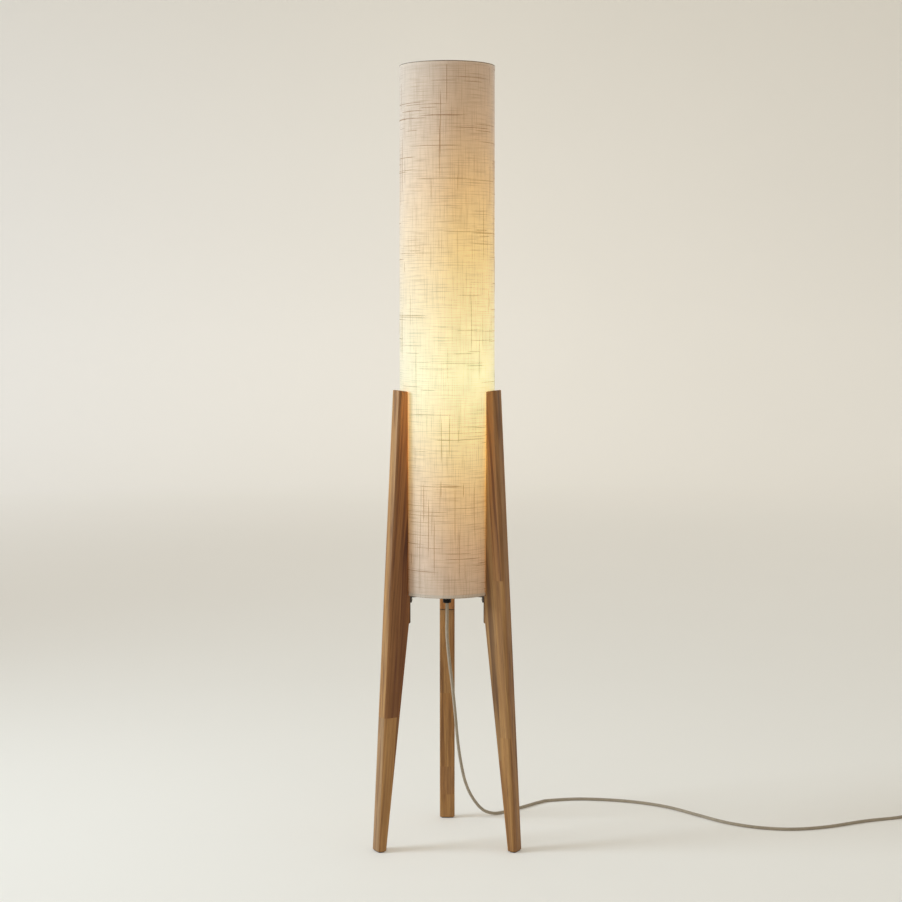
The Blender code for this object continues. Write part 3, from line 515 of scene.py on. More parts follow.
def linen(name, light_place, colour, share=1.0):
    """Plain-woven linen with uneven yarns, seen against the light behind it."""
    finish = Finish(name, 0.92)
    uv = finish.add("ShaderNodeUVMap", uv_map="weave").outputs[0]
    warp, weft = (finish.math("SINE", finish.math("MULTIPLY", finish.parts(uv)[axis],
                                                  2 * math.pi / YARN_PITCH)) for axis in "XY")
    weave = finish.math("MULTIPLY", warp, weft)

    def yarns(scale, part):
        stretched = finish.add("ShaderNodeMapping", {"Vector": uv, "Scale": scale,
                                                     "Location": (0, 0, part)}).outputs[0]
        return finish.noise(stretched, 1.0, 2.0, 0.6)

    thick = finish.mix(washed_out(finish, light_place, 0.9), (0.67, 0.575, 0.44),
                       (0.68, 0.76, 0.66))
    lying, standing = (finish.mix(finish.ramp(yarns(scale, part), (0.28, most), (0.50, 0.0)),
                                  WHITE, thick)
                       for scale, part, most in (((16, 520, 1), 3, 1.0), ((520, 13, 1), 9, 0.8)))
    cloudy = finish.between(yarns((45, 32, 1), 5), 0.93, 1.04)
    dots = finish.math("MULTIPLY_ADD", weave, 0.06, 0.97)
    density = finish.product(finish.product(finish.product(lying, standing), cloudy), dots)
    finish.set("Base Color", finish.mix(0.6, colour, finish.product(colour, density)))
    finish.glow(finish.product(glow_of(finish, light_place, share), density))
    height = finish.math("ADD", finish.math("MULTIPLY", weave, 0.4), lying)
    finish.bump(finish.math("ADD", height, standing), 0.5, WEAVE_DEPTH)
    finish.set("Sheen Weight", 0.8)
    finish.set("Sheen Roughness", 0.4)
    return finish.material


def lit_sheet(name, light_place, colour):
    """The smooth liner behind the cloth, in one warm tone that is as bright as the glow's red."""
    finish = Finish(name, 0.5)
    mottle = finish.between(finish.noise(finish.where(), 120.0), 0.9, 1.05)
    finish.set("Base Color", finish.product(colour, mottle))
    red = finish.add("ShaderNodeSeparateColor", {0: glow_of(finish, light_place)}).outputs[0]
    finish.glow(finish.product(finish.product((1.0, 0.79, 0.50), red), mottle))
    return finish.material


def slub(name, light_place):
    """The thick dark yarns, which let little light through."""
    finish = Finish(name, 0.95)
    drift = finish.noise(finish.where(), 140.0)
    finish.set("Base Color", finish.between(drift, (0.150, 0.090, 0.045), (0.255, 0.170, 0.098)))
    held_back = finish.mix(washed_out(finish, light_place, 0.85), (0.46, 0.36, 0.26),
                           (0.44, 0.58, 0.50))
    glow = finish.product(glow_of(finish, light_place), held_back)
    finish.glow(finish.product(glow, finish.between(drift, 0.8, 1.1)))
    finish.bump(finish.noise(finish.where(), 1500.0, 2.0), 0.4, 0.0001)
    return finish.material


BRAID_YARNS = 10  # around the cord
BRAID_CROSSINGS = 560  # in each metre


def braided(name, light, dark):
    """A sleeve braided from two crossing sets of yarns, on a tube with its own coordinates."""
    finish = Finish(name, 0.88)
    place = finish.parts(finish.add("ShaderNodeUVMap", uv_map="braid").outputs[0])
    around = finish.math("MULTIPLY", place["X"], 2 * math.pi * BRAID_YARNS)
    along = finish.math("MULTIPLY", place["Y"], 2 * math.pi * BRAID_CROSSINGS)
    one = finish.math("SINE", finish.math("ADD", around, along))
    other = finish.math("SINE", finish.math("SUBTRACT", around, along))
    crossing = finish.math("MULTIPLY", one, other)
    drift = finish.noise(finish.where(), 90.0)
    tone = finish.ramp(finish.math("MULTIPLY_ADD", crossing, 0.5, 0.5), (0.05, dark),
                       (0.75, light))
    finish.set("Base Color", finish.mix(0.5, tone, finish.between(drift, 0.75, 1.15), "MULTIPLY"))
    finish.bump(crossing, 0.6, 0.00025)
    finish.set("Sheen Weight", 0.2)
    return finish.material


def felted(name, colour):
    """Felt, or a textile with a soft surface."""
    finish = Finish(name, 0.98)
    fibres = finish.noise(finish.where(), 2200.0, 4.0, 0.7)
    finish.set("Base Color", finish.between(fibres, shade_of(colour, 0.6), shade_of(colour, 1.5)))
    finish.bump(fibres, 0.7, 0.0003)
    return finish.material


def opal_lit(name):
    """The bulb's opal dome, lit from inside and faintly cloudy."""
    finish = Finish(name, 0.35)
    drift = finish.noise(finish.where(), 70.0, 2.0)
    finish.set("Base Color", finish.between(drift, (0.92, 0.90, 0.86), (0.97, 0.95, 0.91)))
    finish.glow(finish.between(drift, (1.0, 0.76, 0.43), (1.0, 0.82, 0.52)), 9.0)
    return finish.material


# ------------------------ camera, light and stage


def camera():
    data = bpy.data.cameras.new("camera")
    data.lens = CAMERA_LENS
    data.sensor_width = 36.0
    data.shift_y = CAMERA_SHIFT
    made = in_scene(bpy.data.objects.new("camera", data))
    made.location = (CAMERA_X, AXIS.y - CAMERA_DISTANCE, CAMERA_Z)
    made.rotation_euler = (math.radians(90.0 - CAMERA_PITCH), 0.0, 0.0)
    bpy.context.scene.camera = made


def daylight():
    """A sky all round and one soft light from the left."""
    world = bpy.data.worlds.new("studio")
    bpy.context.scene.world = world
    world.use_nodes = True
    sky = world.node_tree.nodes["Background"]
    sky.inputs["Color"].default_value = (*SKY_COLOUR, 1.0)
    sky.inputs["Strength"].default_value = SKY_STRENGTH
    data = bpy.data.lights.new("key", "AREA")
    data.shape = "DISK"
    data.size = KEY_SIZE
    data.energy = KEY_POWER
    data.color = KEY_COLOUR
    data.spread = math.radians(KEY_SPREAD)
    made = in_scene(bpy.data.objects.new("key", data))
    made.location = KEY_PLACE
    aim = Vector(KEY_TARGET) - Vector(KEY_PLACE)
    made.rotation_euler = aim.to_track_quat("-Z", "Y").to_euler()
    bpy.context.scene.view_settings.view_transform = "Standard"


def bulb_light(on):
    """What the bulb sends through the shade onto the legs' inner sides."""
    data = bpy.data.lights.new("through_shade", "POINT")
    data.shadow_soft_size = SHADE_RADIUS - 0.006
    data.energy = BULB_LIGHT
    data.color = BULB_COLOUR
    made = in_scene(bpy.data.objects.new("through_shade", data))
    made.location = AXIS + Vector((0, 0, BULB_Z))
    for use in ("receiver_collection", "blocker_collection"):
        group = bpy.data.collections.new(use)
        for piece in on:
            group.objects.link(piece)
        setattr(made.light_linking, use, group)


def backdrop():
    """A pale floor that curves up into a wall, with painted light that is cooler on the left and
    darker on the right.
    """
    profile = [(radius, 0.0) for radius in (0.0, 1.2, 2.5, 4.5, FLAT_RADIUS)]
    steps = 16
    for i in range(1, steps + 1):
        angle = math.pi / 2 * i / steps
        profile.append((FLAT_RADIUS + CURVE_RADIUS * math.sin(angle),
                        CURVE_RADIUS * (1 - math.cos(angle))))
    profile.append((FLAT_RADIUS + CURVE_RADIUS, WALL_TOP))
    made = turned("backdrop", [(radius, height - BACKDROP_DROP) for radius, height in profile],
                  BACKDROP_SIDES, closed=False)
    finish = Finish("pale_paper", 0.9)
    where = finish.where()
    drift = finish.noise(where, 0.8, 2.0)
    finish.set("Base Color", finish.between(drift, (0.785, 0.755, 0.695), (0.795, 0.765, 0.705)))
    finish.bump(finish.noise(where, 300.0, 2.0), 0.1, 0.0002)
    place = finish.parts(where)
    # Painted light: the backdrop glows, cooler on the left, darker on the right, more further out
    # and less higher up
    across = finish.math("ADD", finish.math("DIVIDE", place["X"], WASH_WIDTH), 0.5)
    wash = finish.ramp(across, (0.0, (0.315, 0.335, 0.365)), (0.5, (0.342, 0.332, 0.312)),
                       (1.0, (0.210, 0.204, 0.194)))
    distance = finish.add("ShaderNodeVectorMath", {0: where}, operation="LENGTH").outputs["Value"]
    outwards = finish.ramp(finish.math("DIVIDE", distance, WASH_REACH), (0.15, 0.30),
                           (0.45, 0.52), (0.85, 0.95))
    upwards = finish.ramp(finish.math("DIVIDE", place["Z"], WASH_HEIGHT), (0.04, 1.0),
                          (0.40, 0.72), (0.80, 0.35))
    finish.glow(finish.product(wash, finish.product(outwards, upwards)))
    in_scene(made, finish.material)


# ------------------------ cord


def eased(keys, t):
    """The values at t, between keys that each start with their own t, with smooth changes."""
    for (before, *start), (after, *end) in zip(keys, keys[1:]):
        if t <= after:
            share = max(0.0, (t - before) / (after - before))
            share = share * share * (3 - 2 * share)
            return [a + (b - a) * share for a, b in zip(start, end)]
    return list(keys[-1][1:])


def coil_points():
    """The turns of the stored cord, anticlockwise from the side nearest the viewer."""
    points = []
    turns = COIL_TURNS[-1][0]
    steps = int(turns * COIL_STEPS)
    for i in range(steps + 1):
        t = turns * i / steps
        radius, height = eased(COIL_TURNS, t)
        angle = 2 * math.pi * t - math.pi / 2
        points.append(at_angle(COIL_PLACE, radius, angle, height))
    return points


def cord_line():
    """The whole cord's middle, from the grip through the switch and the coil to the plug."""
    clear, bite, held = 0.002, 0.006, 0.010  # past a relief's mouth, into the switch and plug
    outside = SWITCH_LENGTH / 2 + RELIEF_LENGTH + clear
    inside = SWITCH_LENGTH / 2 - bite
    through = [at_angle(SWITCH_PLACE, along, math.radians(SWITCH_TURN), CORD_ENTRY)
               for along in (-outside, -inside, 0.0, inside, outside)]
    coil = coil_points()
    run_in, run_out = 0.020, 0.016
    into_coil = (coil[0][0] - run_in, coil[0][1], FLOOR)
    out_of_coil = (coil[-1][0] - run_out, coil[-1][1], FLOOR)
    to_plug = [at_angle(PLUG_PLACE, PLUG_LENGTH + more, math.radians(PLUG_TURN), PLUG_HEIGHT / 2)
               for more in (PLUG_RELIEF_LENGTH + clear, 0.0, -held)]
    points = CORD_ROUTE + through + [into_coil] + coil + [out_of_coil] + to_plug
    return smooth_route([Vector(point) + AXIS for point in points], CORD_STEP)


def tube_along(name, line, radius, sides=14):
    """A round tube with closed ends, and coordinates for its braid: share around, metres along."""
    shape = bmesh.new()
    layer = shape.loops.layers.uv.new("braid")
    up = Vector((0, 1, 0))
    rings = []
    lengths = []
    total = 0.0
    for i, point in enumerate(line):
        ahead_of = line[min(i + 1, len(line) - 1)] - line[max(i - 1, 0)]
        ahead_of.normalize()
        side = ahead_of.cross(up).normalized()
        up = side.cross(ahead_of).normalized()
        if i:
            total += (point - line[i - 1]).length
        lengths.append(total)
        rings.append([shape.verts.new(point + radius * (side * math.cos(2 * math.pi * k / sides)
                                                        + up * math.sin(2 * math.pi * k / sides)))
                      for k in range(sides)])
    for i in range(len(line) - 1):
        strip(shape, layer, rings[i], rings[i + 1], 1.0, lengths[i], lengths[i + 1])
    shape.faces.new(rings[0][::-1])
    shape.faces.new(rings[-1])
    return as_mesh(name, shape)


def cord():
    line = cord_line()
    textile = braided("taupe_braid", (0.46, 0.385, 0.285), (0.22, 0.175, 0.12))
    made = in_scene(tube_along("cord", line, CORD_RADIUS), textile)
    stands_for(made, "stand", "cord_textile", "cord_run", "cord_link", "cord_lead", "cord_coil")
    return made, line


# ------------------------ legs


# The board as the model has it: heights, and distances from the lamp's axis
LEG_THICKNESS = 0.0292
LEG_TOP = 0.8590
TOP_SLOPE = 0.003
TOP_INNER = 0.0912
TOP_OUTER = 0.1108
LEDGE_TOP = 0.4747
LEDGE_BOTTOM = 0.4235
ABOVE_LEDGE_INNER = 0.0905
LEDGE_INNER = 0.0858
BELOW_LEDGE_INNER = 0.0890
FOOT_INNER = 0.1378
FOOT_OUTER = 0.1548
LEG_FOOT = 0.0018
OUTER_ROUNDING = 0.0074
INNER_ROUNDING = 0.0030

# Each leg is glued up from staves, and each stave from blocks. A stave starts this far inside the
# outer edge, and has joints at these heights between woods named from the floor up.
STAVES = {
    # The left leg's thin outer stave is pale below 0.25 m: painted sheen on the outer edge where
    # daylight falls
    "left": [(0.000, (0.250,), ("pale", "honey")),
             (0.0016, (0.250,), ("honey", "umber")),
             (0.024, (0.250,), ("tan", "umber_red"))],
    "right": [(0.000, (), ("brown",)),
              (0.0016, (0.213, 0.505), ("honey", "tan", "brown")),
              (0.0215, (0.170,), ("brown", "tan_grey"))],
    "rear": [(0.000, (0.106, 0.256), ("honey", "tan", "brown")),
             (0.020, (0.106, 0.256), ("brown", "honey", "tan"))],
}


# Each wood's dark streaks, body and light streaks, and where in the grain it is cut from
WOODS = {
    "umber": ((0.100, 0.031, 0.007), (0.178, 0.066, 0.015), (0.250, 0.105, 0.028), 1.0),
    "umber_red": ((0.090, 0.026, 0.005), (0.158, 0.052, 0.010), (0.210, 0.080, 0.018), 2.4),
    "brown": ((0.135, 0.051, 0.012), (0.240, 0.106, 0.030), (0.320, 0.156, 0.050), 4.0),
    "tan": ((0.160, 0.067, 0.017), (0.282, 0.136, 0.040), (0.370, 0.196, 0.066), 7.0),
    "tan_grey": ((0.145, 0.066, 0.020), (0.262, 0.134, 0.044), (0.350, 0.198, 0.074), 9.3),
    "honey": ((0.175, 0.072, 0.017), (0.295, 0.138, 0.038), (0.380, 0.196, 0.062), 11.0),
    # pale: a light wood that also stands in for painted sheen on the left leg's sunlit outer edge
    "pale": ((0.200, 0.100, 0.038), (0.300, 0.164, 0.068), (0.370, 0.215, 0.096), 17.0),
    # Painted shade: near-black wood for the inner sides of the side legs' ledges, which lie in
    # shade
    "ledge_shade": ((0.022, 0.010, 0.005), (0.048, 0.022, 0.010), (0.075, 0.036, 0.016), 13.0),
    # Painted shadow: the dark line under each ledge
    "shadow_line": ((0.020, 0.008, 0.003), (0.045, 0.018, 0.006), (0.070, 0.028, 0.009), 15.0),
}


def board_outline(inner, outer, half, steps=6):
    """A board's outline seen from above, with wider rounding at its outer side."""
    points = []
    corners = ((outer, -1, OUTER_ROUNDING, -90), (outer, 1, OUTER_ROUNDING, 0),
               (inner, 1, INNER_ROUNDING, 90), (inner, -1, INNER_ROUNDING, 180))
    for edge, side, radius, start in corners:
        centre_x = edge - radius if edge == outer else edge + radius
        for i in range(steps + 1):
            angle = math.radians(start + 90 * i / steps)
            points.append((centre_x + radius * math.cos(angle),
                           side * (half - radius) + radius * math.sin(angle)))
    return points


def outer_edge(height):
    """How far the leg's outer edge is from the lamp's axis."""
    return FOOT_OUTER + (TOP_OUTER - FOOT_OUTER) * (height - LEG_FOOT) / (LEG_TOP - LEG_FOOT)


def board(shape):
    """The leg's solid in its own frame: X away from the lamp's axis, Z up."""
    soft, lip, chamfer = 0.0012, 0.0005, 0.0010  # at the board's ends, the ledge's top and foot
    foot_at = FOOT_INNER + (BELOW_LEDGE_INNER - FOOT_INNER) * soft / (LEDGE_BOTTOM - LEG_FOOT)
    levels = [(LEG_FOOT, FOOT_INNER, soft), (LEG_FOOT + 0.3 * soft, FOOT_INNER, 0.3 * soft),
              (LEG_FOOT + soft, foot_at, 0), (LEDGE_BOTTOM - 0.0004, BELOW_LEDGE_INNER, 0),
              (LEDGE_BOTTOM, LEDGE_INNER + chamfer, 0), (LEDGE_BOTTOM + 0.0016, LEDGE_INNER, 0),
              (LEDGE_TOP - lip, LEDGE_INNER, 0), (LEDGE_TOP, LEDGE_INNER + lip, 0),
              (LEDGE_TOP, ABOVE_LEDGE_INNER, 0), (LEG_TOP - soft, TOP_INNER, 0),
              (LEG_TOP - 0.3 * soft, TOP_INNER, 0.3 * soft), (LEG_TOP, TOP_INNER, soft)]
    rings = []
    for height, inner, shrink in levels:
        outer = outer_edge(height)
        slope = TOP_SLOPE if height > LEG_TOP - 2 * soft else 0.0
        outline = board_outline(inner + shrink, outer - shrink, LEG_THICKNESS / 2 - shrink)
        rings.append([shape.verts.new((x, y, height - slope * (outer - x) / (outer - inner)))
                      for x, y in outline])
    bridge(shape, rings)
    shape.faces.new(rings[0][::-1])
    shape.faces.new(rings[-1])


def leg(side, tones):
    """One leg, cut at its glue lines so that each block has its own wood."""
    foot = middle(f"glide_{side}") - AXIS
    shape = bmesh.new()
    board(shape)
    up = Vector((outer_edge(LEG_TOP) - outer_edge(LEG_FOOT), 0, LEG_TOP - LEG_FOOT)).normalized()
    inwards = Vector((-up.z, 0, up.x))
    edge = Vector((FOOT_OUTER, 0, LEG_FOOT))

    def split(place, normal):
        bmesh.ops.bisect_plane(shape, geom=shape.verts[:] + shape.edges[:] + shape.faces[:],
                               dist=WELD, plane_co=place, plane_no=normal)

    staves = STAVES[side]
    for start, levels, _ in staves:
        if start:
            split(edge + inwards * start, inwards)
        for level in levels:
            split((0, 0, level), (0, 0, 1))
    # a cut at the ledge's inner face, so that the ledge can take its painted shade
    split((BELOW_LEDGE_INNER, 0, 0), (1, 0, 0))
    shadow_line, margin = 0.002, 0.001  # the painted shadow line's height under each ledge, and room for the ledge's upper face
    names = list(tones)
    for face in shape.faces:
        centre = face.calc_center_median()
        depth = (centre - edge).dot(inwards)
        start, levels, blocks = [stave for stave in staves if depth >= stave[0] or not stave[0]][-1]
        wood = blocks[sum(centre.z > level for level in levels)]
        # Painted shade and shadow: near-black wood on the side legs' ledges and a dark line under
        # every ledge; the rear leg's ledge keeps brown wood
        if centre.x < BELOW_LEDGE_INNER and centre.z < LEDGE_TOP + margin:
            ledge_wood = "brown" if side == "rear" else "ledge_shade"
            wood = "shadow_line" if centre.z < LEDGE_BOTTOM + shadow_line else ledge_wood
        face.material_index = names.index(wood)
    made = in_scene(as_mesh(f"leg_{side}_board", shape, LEG_EDGE, WELD), *tones.values())
    made.matrix_world = (Matrix.Translation(AXIS)
                         @ Matrix.Rotation(math.atan2(foot.y, foot.x), 4, "Z"))
    crisp = made.modifiers.new("flat faces stay flat", "WEIGHTED_NORMAL")
    crisp.keep_sharp = True
    return stands_for(made, "stand", "leg_wood", f"leg_{side}")


def legs():
    tones = {wood: acacia(f"acacia_{wood}", *recipe) for wood, recipe in WOODS.items()}
    made = [leg(side, tones) for side in SIDES]
    felt = felted("brown_felt", (0.10, 0.075, 0.055))
    for side in SIDES:
        paint(f"glide_{side}", felt)
    return made


def paint(node, finish):
    """Gives a CAD node a better material."""
    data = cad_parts[node].data
    data.materials.clear()
    data.materials.append(finish)


# ------------------------ shade


CLOTH = 0.0006  # thick
CLOTH_RIPPLE = 0.00004
RIPPLES_AROUND, RIPPLES_UP = 2.2, 14
LINER = 0.0005  # thick
CLEAR = 0.00008  # between the cloth and its bindings
BINDING_INSET = 0.00005
DRUM_SIDES = 180


def cylinder_sheet(name, outer, inner, low, high, sides, rows, ripple=0.0):
    """A thin upright tube with two skins, and coordinates in metres for its weave."""
    shape = bmesh.new()
    layer = shape.loops.layers.uv.new("weave")
    skins = []
    for radius in (outer, inner):
        grid = []
        for j in range(rows + 1):
            height = low + (high - low) * j / rows
            loop = []
            for i in range(sides):
                angle = 2 * math.pi * i / sides + math.pi / 2
                place = Vector((math.cos(angle), math.sin(angle), 0.0))
                uneven = ripple * noise.noise(place * RIPPLES_AROUND
                                              + Vector((0, 0, height * RIPPLES_UP)))
                loop.append(shape.verts.new(AXIS + place * (radius + uneven - ripple)
                                            + Vector((0, 0, height))))
            grid.append(loop)
        skins.append(grid)
    girth = 2 * math.pi * outer
    for skin, grid in enumerate(skins):
        for j in range(rows):
            levels = [low + (high - low) * k / rows for k in (j, j + 1)]
            strip(shape, layer, grid[j], grid[j + 1], girth, *levels, flip=bool(skin))
    for j, level in ((0, low), (rows, high)):
        strip(shape, layer, skins[0][j], skins[1][j], girth, level, level)
    return as_mesh(name, shape)


SLUB_GROUPS = 125
SLUB_STEP = 0.006
SLUB_HALF_WIDTH = 0.00046
SLUB_HEIGHT = 0.00020
SLUB_TIP = 0.12  # a yarn's thickness at its very ends, as a share of its middle's
SLUB_MARGIN = 0.0075  # left free under the bindings
RING_GAP = 0.0001  # kept between a yarn's rings where the margin cuts it short
# Of lying and of upright yarns: how many in a group, how far they stray round and up the drum,
# and their lengths and weights
SLUB_KINDS = (((1, 1, 2, 2, 3), 0.35, 0.016, (0.025, 0.11), (0.6, 1.0)),
              ((0, 1, 1, 2), 0.3, 0.02, (0.022, 0.12), (0.55, 0.95)))
# A yarn's section: shares of its half width and of its height off the cloth
SLUB_SECTION = ((-1, 0.0), (-0.45, 0.8), (0.45, 0.8), (1, 0.0), (0, -0.6))


def slub_lines(draw):
    """Where the thick yarns are: crossing groups of lying and upright ones."""
    kinds = [[] for _ in SLUB_KINDS]
    for k in range(SLUB_GROUPS):
        angle = draw.uniform(0, 2 * math.pi)
        level = SHADE_LOW + (SHADE_HIGH - SHADE_LOW) * (k + draw.random()) / SLUB_GROUPS
        for lines, (counts, aside, astray, lengths, weights) in zip(kinds, SLUB_KINDS):
            for _ in range(draw.choice(counts)):
                length = draw.uniform(*lengths)
                lines.append((angle + draw.uniform(-aside, aside),
                              level + draw.uniform(-astray, astray),
                              length, draw.uniform(*weights)))
    return kinds


def slub_yarns(name, lines, upright, finish):
    """Low tapered ridges on the cloth, one for each thick yarn."""
    shape = bmesh.new()
    low, high = SHADE_LOW + SLUB_MARGIN, SHADE_HIGH - SLUB_MARGIN
    for angle, level, length, weight in lines:
        steps = max(4, int(length / SLUB_STEP))
        rings = []
        for i in range(steps + 1):
            t = i / steps
            taper = min(1.0, 5 * t + SLUB_TIP, 5 * (1 - t) + SLUB_TIP)
            half = SLUB_HALF_WIDTH * weight * taper
            tall = SLUB_HEIGHT * taper
            offset = (t - 0.5) * length
            turn_at = angle + (0 if upright else offset / SHADE_RADIUS)
            z = level + (offset if upright else 0.0)
            z = min(max(z, low + RING_GAP * i), high - RING_GAP * (steps - i))
            ring = []
            for side, rise in SLUB_SECTION:
                reach = SHADE_RADIUS + tall * rise
                here = turn_at + (side * half / SHADE_RADIUS if upright else 0.0)
                up = z + (0.0 if upright else side * half)
                ring.append(shape.verts.new(at_angle(AXIS, reach, here, up)))
            rings.append(ring)
        bridge(shape, rings)
        shape.faces.new(rings[0][::-1])
        shape.faces.new(rings[-1])
    made = in_scene(as_mesh(name, shape), finish)
    return stands_for(made, "shade", "linen")


def rim_bead(name, level, radius, wire, finish, slot, *nodes):
    """A wire ring, or a rolled edge; its radius is to the wire's middle."""
    sides, around = 12, 120
    profile = [(radius + wire * math.cos(2 * math.pi * i / sides),
                level + wire * math.sin(2 * math.pi * i / sides)) for i in range(sides)]
    made = in_scene(turned(name, profile, around), finish)
    return stands_for(made, "shade", slot, *nodes)


def cloth(light_place):
    """The drum's linen and the thick yarns on it."""
    plain = linen("slub_linen", light_place, (0.472, 0.416, 0.346))
    fabric = cylinder_sheet("shade_linen", SHADE_RADIUS, SHADE_RADIUS - CLOTH, SHADE_LOW,
                            SHADE_HIGH, DRUM_SIDES, 60, CLOTH_RIPPLE)
    in_scene(fabric, plain)
    stands_for(fabric, "shade", "linen", "shade_fabric")
    lying, standing = slub_lines(random.Random(21))
    dark_yarn = slub("slub_yarn", light_place)
    weft = slub_yarns("slub_weft", lying, False, dark_yarn)
    warp = slub_yarns("slub_warp", standing, True, dark_yarn)
    return fabric, [weft, warp]


def liner(light_place):
    """The stiff sheet that the linen is stretched on."""
    low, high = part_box("shade_liner")
    radius = (high.x - low.x) / 2
    sheet = lit_sheet("lit_styrene", light_place, (0.74, 0.69, 0.58))
    made = in_scene(cylinder_sheet("shade_lining", radius, radius - LINER, low.z, high.z, 128, 24),
                    sheet)
    stands_for(made, "shade", "liner_plastic", "shade_liner")


def bindings(light_place):
    """A tape round each end, and the rolled hem at its edge. The top's hem is the thicker one."""
    made = []
    for end, share in (("bottom", 0.35), ("top", 0.9)):
        tape = linen(f"binding_{end}", light_place, (0.50, 0.44, 0.365), share)
        low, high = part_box(f"shade_trim_{end}")
        under_hem = high.z - (HEM_WIRE if end == "top" else 0.0)
        band = cylinder_sheet(f"binding_{end}", BINDING_RADIUS - BINDING_INSET,
                              SHADE_RADIUS + CLEAR, low.z, under_hem, DRUM_SIDES, 2)
        in_scene(band, tape)
        made.append(stands_for(band, "shade", "trim_tape", f"shade_trim_{end}"))
    # Painted shade: the rolled hems are near-black where the wire inside keeps the glow back
    hem = moulded("shaded_hem", (0.085, 0.072, 0.052), 0.9, 1400.0, 0.0002)
    for end, wire in (("bottom", 0.0007), ("top", HEM_WIRE)):
        level = SHADE_LOW + wire if end == "bottom" else SHADE_HIGH - wire
        made.append(rim_bead(f"shaded_hem_{end}", level, BINDING_RADIUS - wire, wire, hem,
                             "trim_tape"))
    return made


def wire_rings():
    coat = moulded("cream_coat", (0.78, 0.77, 0.73), 0.4, 500.0, 0.00004)
    for end in ("bottom", "top"):
        low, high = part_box(f"shade_ring_{end}")
        wire = (high.z - low.z) / 2
        rim_bead(f"wire_ring_{end}", (low.z + high.z) / 2, (high.x - low.x) / 2 - wire, wire,
                 coat, "ring_wire", f"shade_ring_{end}")


def shade(light_place):
    fabric, yarns = cloth(light_place)
    liner(light_place)
    edges = bindings(light_place)
    wire_rings()


# ------------------------ metal, holder and bulb


DRAWN = 0.06  # how far a drawn tube's or pin's grain is stretched


def copy_set(slot, finish, nodes, bevel=0.0003, segments=2, body="stand"):
    """Finer copies of CAD nodes, in one look."""
    for node in nodes:
        piece = in_scene(refined(f"{node}_finished", node, bevel, segments), finish)
        stands_for(piece, body, slot, node)


def fittings():
    """What the stand carries: the star and its screws, tube, grip, wiring and lampholder."""
    black = moulded("powder_coat", (0.022, 0.022, 0.024), 0.5, 1300.0, 0.00008)
    copy_set("black_steel", black, ["spider"], 0.0005, 3)
    zinc = metal("zinc_plate", (0.62, 0.60, 0.54), 0.34, 700.0)
    screws = [f"spider_screw_{side}_{k}" for side in SIDES for k in (1, 2)]
    rings = ["tube_nut_lower", "tube_nut_upper", "tube_washer_lower", "tube_washer_upper"]
    copy_set("zinc", zinc, screws + rings, 0.0002)
    steel = metal("tube_steel_finish", (0.46, 0.46, 0.47), 0.33, along=DRAWN)
    copy_set("tube_steel", steel, ["lamp_tube"], 0.0001)
    nylon = moulded("grip_nylon", (0.005, 0.004, 0.0035), 0.6, 800.0, 0.00004, 0.15)
    copy_set("black_plastic", nylon, ["cord_grip", "cord_grip_screw"])
    bakelite = moulded("holder_bakelite", (0.016, 0.015, 0.015), 0.32, 500.0, 0.00003)
    copy_set("black_plastic", bakelite, ["holder_base", "holder_shell"])
    glaze = moulded("white_glaze", (0.80, 0.78, 0.72), 0.22, 300.0, 0.00003)
    copy_set("ceramic", glaze, ["holder_insert"])
    brass = metal("stamped_brass", (0.74, 0.57, 0.28), 0.28, 600.0)
    for node in ("thread_sleeve", "centre_contact", "terminal_screw_live",
                 "terminal_screw_neutral"):
        paint(node, brass)
    paint("wire_live", moulded("brown_pvc_finish", (0.22, 0.09, 0.04), 0.4, 400.0, 0.00002))
    paint("wire_neutral", moulded("blue_pvc_finish", (0.03, 0.12, 0.42), 0.4, 400.0, 0.00002))
    paint("supply_cable", felted("cable_textile", (0.27, 0.22, 0.15)))


def bulb():
    opal = opal_lit("opal_dome")
    copy_set("opal", opal, ["bulb_globe"], 0.0, body="bulb")
    white = moulded("bulb_white", (0.84, 0.84, 0.82), 0.38, 400.0, 0.00003)
    copy_set("white_plastic", white, ["bulb_collar"], body="bulb")
    screw_cap(metal("nickel_cap", (0.68, 0.66, 0.61), 0.22, 500.0))
    paint("bulb_board", metal("board_sheet", (0.80, 0.80, 0.80), 0.3, 400.0))
    paint("bulb_tip", metal("solder", (0.5, 0.5, 0.5), 0.4, depth=0.00008))


CAP_SIDES = 72
THREAD_PITCH = 0.00363
THREAD_DEPTH = 0.0009
THREAD_RUN_OUT = 0.0014
THREAD_ROWS = 58


def screw_cap(finish):
    """The bulb's cap, a thin shell with a rolled right-hand thread."""
    low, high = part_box("bulb_cap")
    base, crest = low.z, (high.x - low.x) / 2 - 0.00002
    neck, lining = crest - 0.0006, crest - 0.0016
    first, last = base + 0.0052, base + 0.0226
    # Radius, height and how far the thread swings, from the tip's hole up and back down inside
    rings = [(0.0046, base, 0.0), (0.0080, base + 0.0020, 0.0), (0.0117, base + 0.0042, 0.0)]
    for k in range(THREAD_ROWS + 1):
        height = first + (last - first) * k / THREAD_ROWS
        share = min(1.0, (height - first) / THREAD_RUN_OUT, (last - height) / THREAD_RUN_OUT)
        rings.append((crest - THREAD_DEPTH / 2, height, max(0.0, share) * THREAD_DEPTH / 2))
    rings += [(neck, base + 0.0236, 0.0), (neck, high.z, 0.0), (lining, high.z, 0.0),
              (lining, base + 0.0052, 0.0), (0.0076, base + 0.0030, 0.0),
              (0.0042, base + 0.0012, 0.0)]
    shape = bmesh.new()
    loops = []
    for radius, height, swing in rings:
        turns = (height - first) / THREAD_PITCH
        loops.append(circle(shape, radius, height, CAP_SIDES,
                            lambda angle: swing * math.sin(2 * math.pi * turns - angle)))
    bridge(shape, loops, closed=True)
    made = in_scene(as_mesh("bulb_cap_finished", shape, THREAD_EDGE, WELD), finish)
    stands_for(made, "bulb", "nickel", "bulb_cap")


# ------------------------ switch, strap and plug


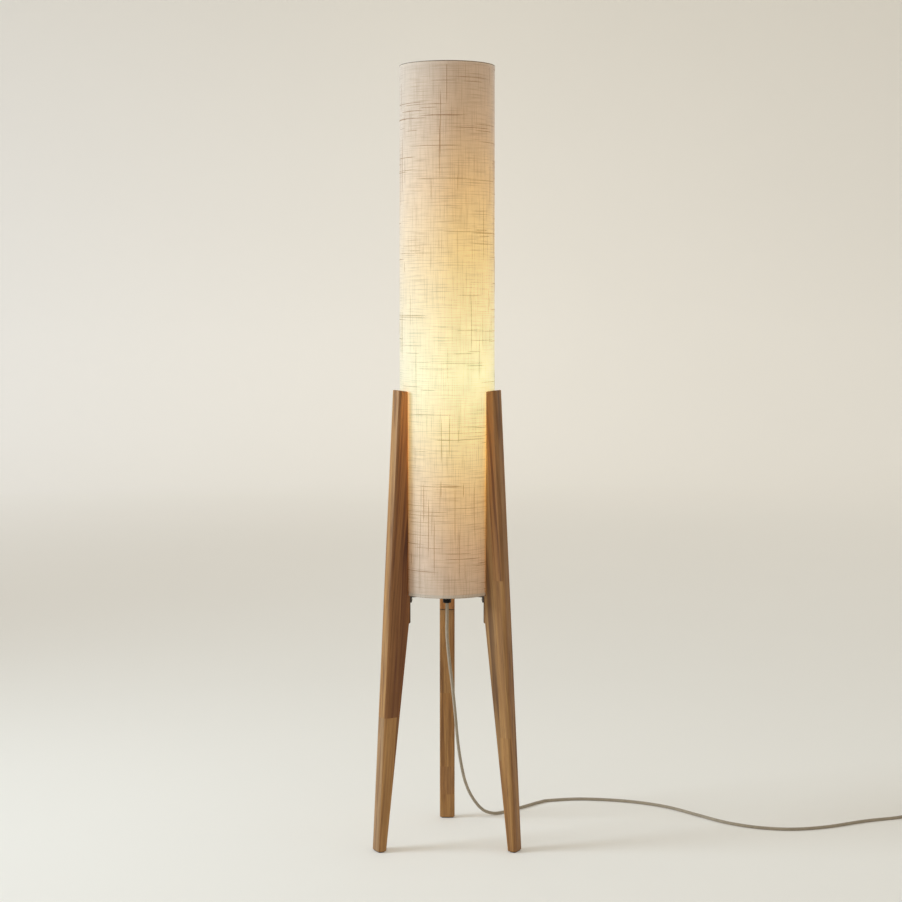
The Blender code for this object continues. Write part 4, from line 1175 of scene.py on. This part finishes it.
def switch_and_plug():
    """What hangs on the cord: the foot switch, the coil's strap and the plug."""
    rubber = moulded("soft_rubber", (0.020, 0.019, 0.019), 0.62, 1500.0, 0.00008)
    plastic = moulded("switch_plastic", (0.024, 0.023, 0.023), 0.42, 1100.0, 0.00007)
    button = moulded("button_plastic", (0.045, 0.044, 0.043), 0.3, 900.0, 0.00004)
    copy_set("rubber", rubber, ["switch_base"], 0.0004)
    copy_set("black_plastic", plastic, ["switch_cover", "plug_body"], 0.0005, 3)
    copy_set("black_plastic", button, ["switch_button"], 0.0005, 3, body="button")
    copy_set("rubber", rubber, ["switch_relief_in", "switch_relief_out", "plug_relief"], 0.0002)
    pins = metal("pin_nickel", (0.72, 0.70, 0.65), 0.2, along=DRAWN)
    copy_set("nickel", pins, ["plug_pin_left", "plug_pin_right"])
    copy_set("tie_strap", felted("strap_loops", (0.022, 0.022, 0.022)), ["coil_tie"])
    paint("switch_contacts", moulded("phenolic_block", (0.24, 0.12, 0.06), 0.5, 600.0, 0.00004))
    spring()


def spring():
    """The coil spring under the button."""
    low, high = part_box("switch_spring")
    centre, wire, turns, steps = middle("switch_spring"), 0.0003, 3, 84
    reach = (high.x - low.x) / 2 - wire
    bottom, climb = low.z + wire, high.z - low.z - 2 * wire
    line = []
    for i in range(steps + 1):
        t = i / steps
        angle = 2 * math.pi * turns * t + math.pi / 2
        share = min(max((t - 0.1) / 0.8, 0.0), 1.0)  # its first and last tenth lie flat
        line.append(Vector(at_angle(centre, reach, angle, bottom + climb * share)))
    made = in_scene(tube_along("switch_spring_coil", line, wire, 10),
                    metal("spring_wire", (0.70, 0.70, 0.70), 0.25))
    stands_for(made, "stand", "spring_steel", "switch_spring")
    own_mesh(made)


# ------------------------ all of it


def main():
    camera()
    daylight()
    backdrop()
    made_cord, line = cord()
    light_place = in_scene(bpy.data.objects.new("light_height", None))
    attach(light_place, "stand")
    bulb_light(legs())
    shade(light_place)
    fittings()
    bulb()
    switch_and_plug()


main()
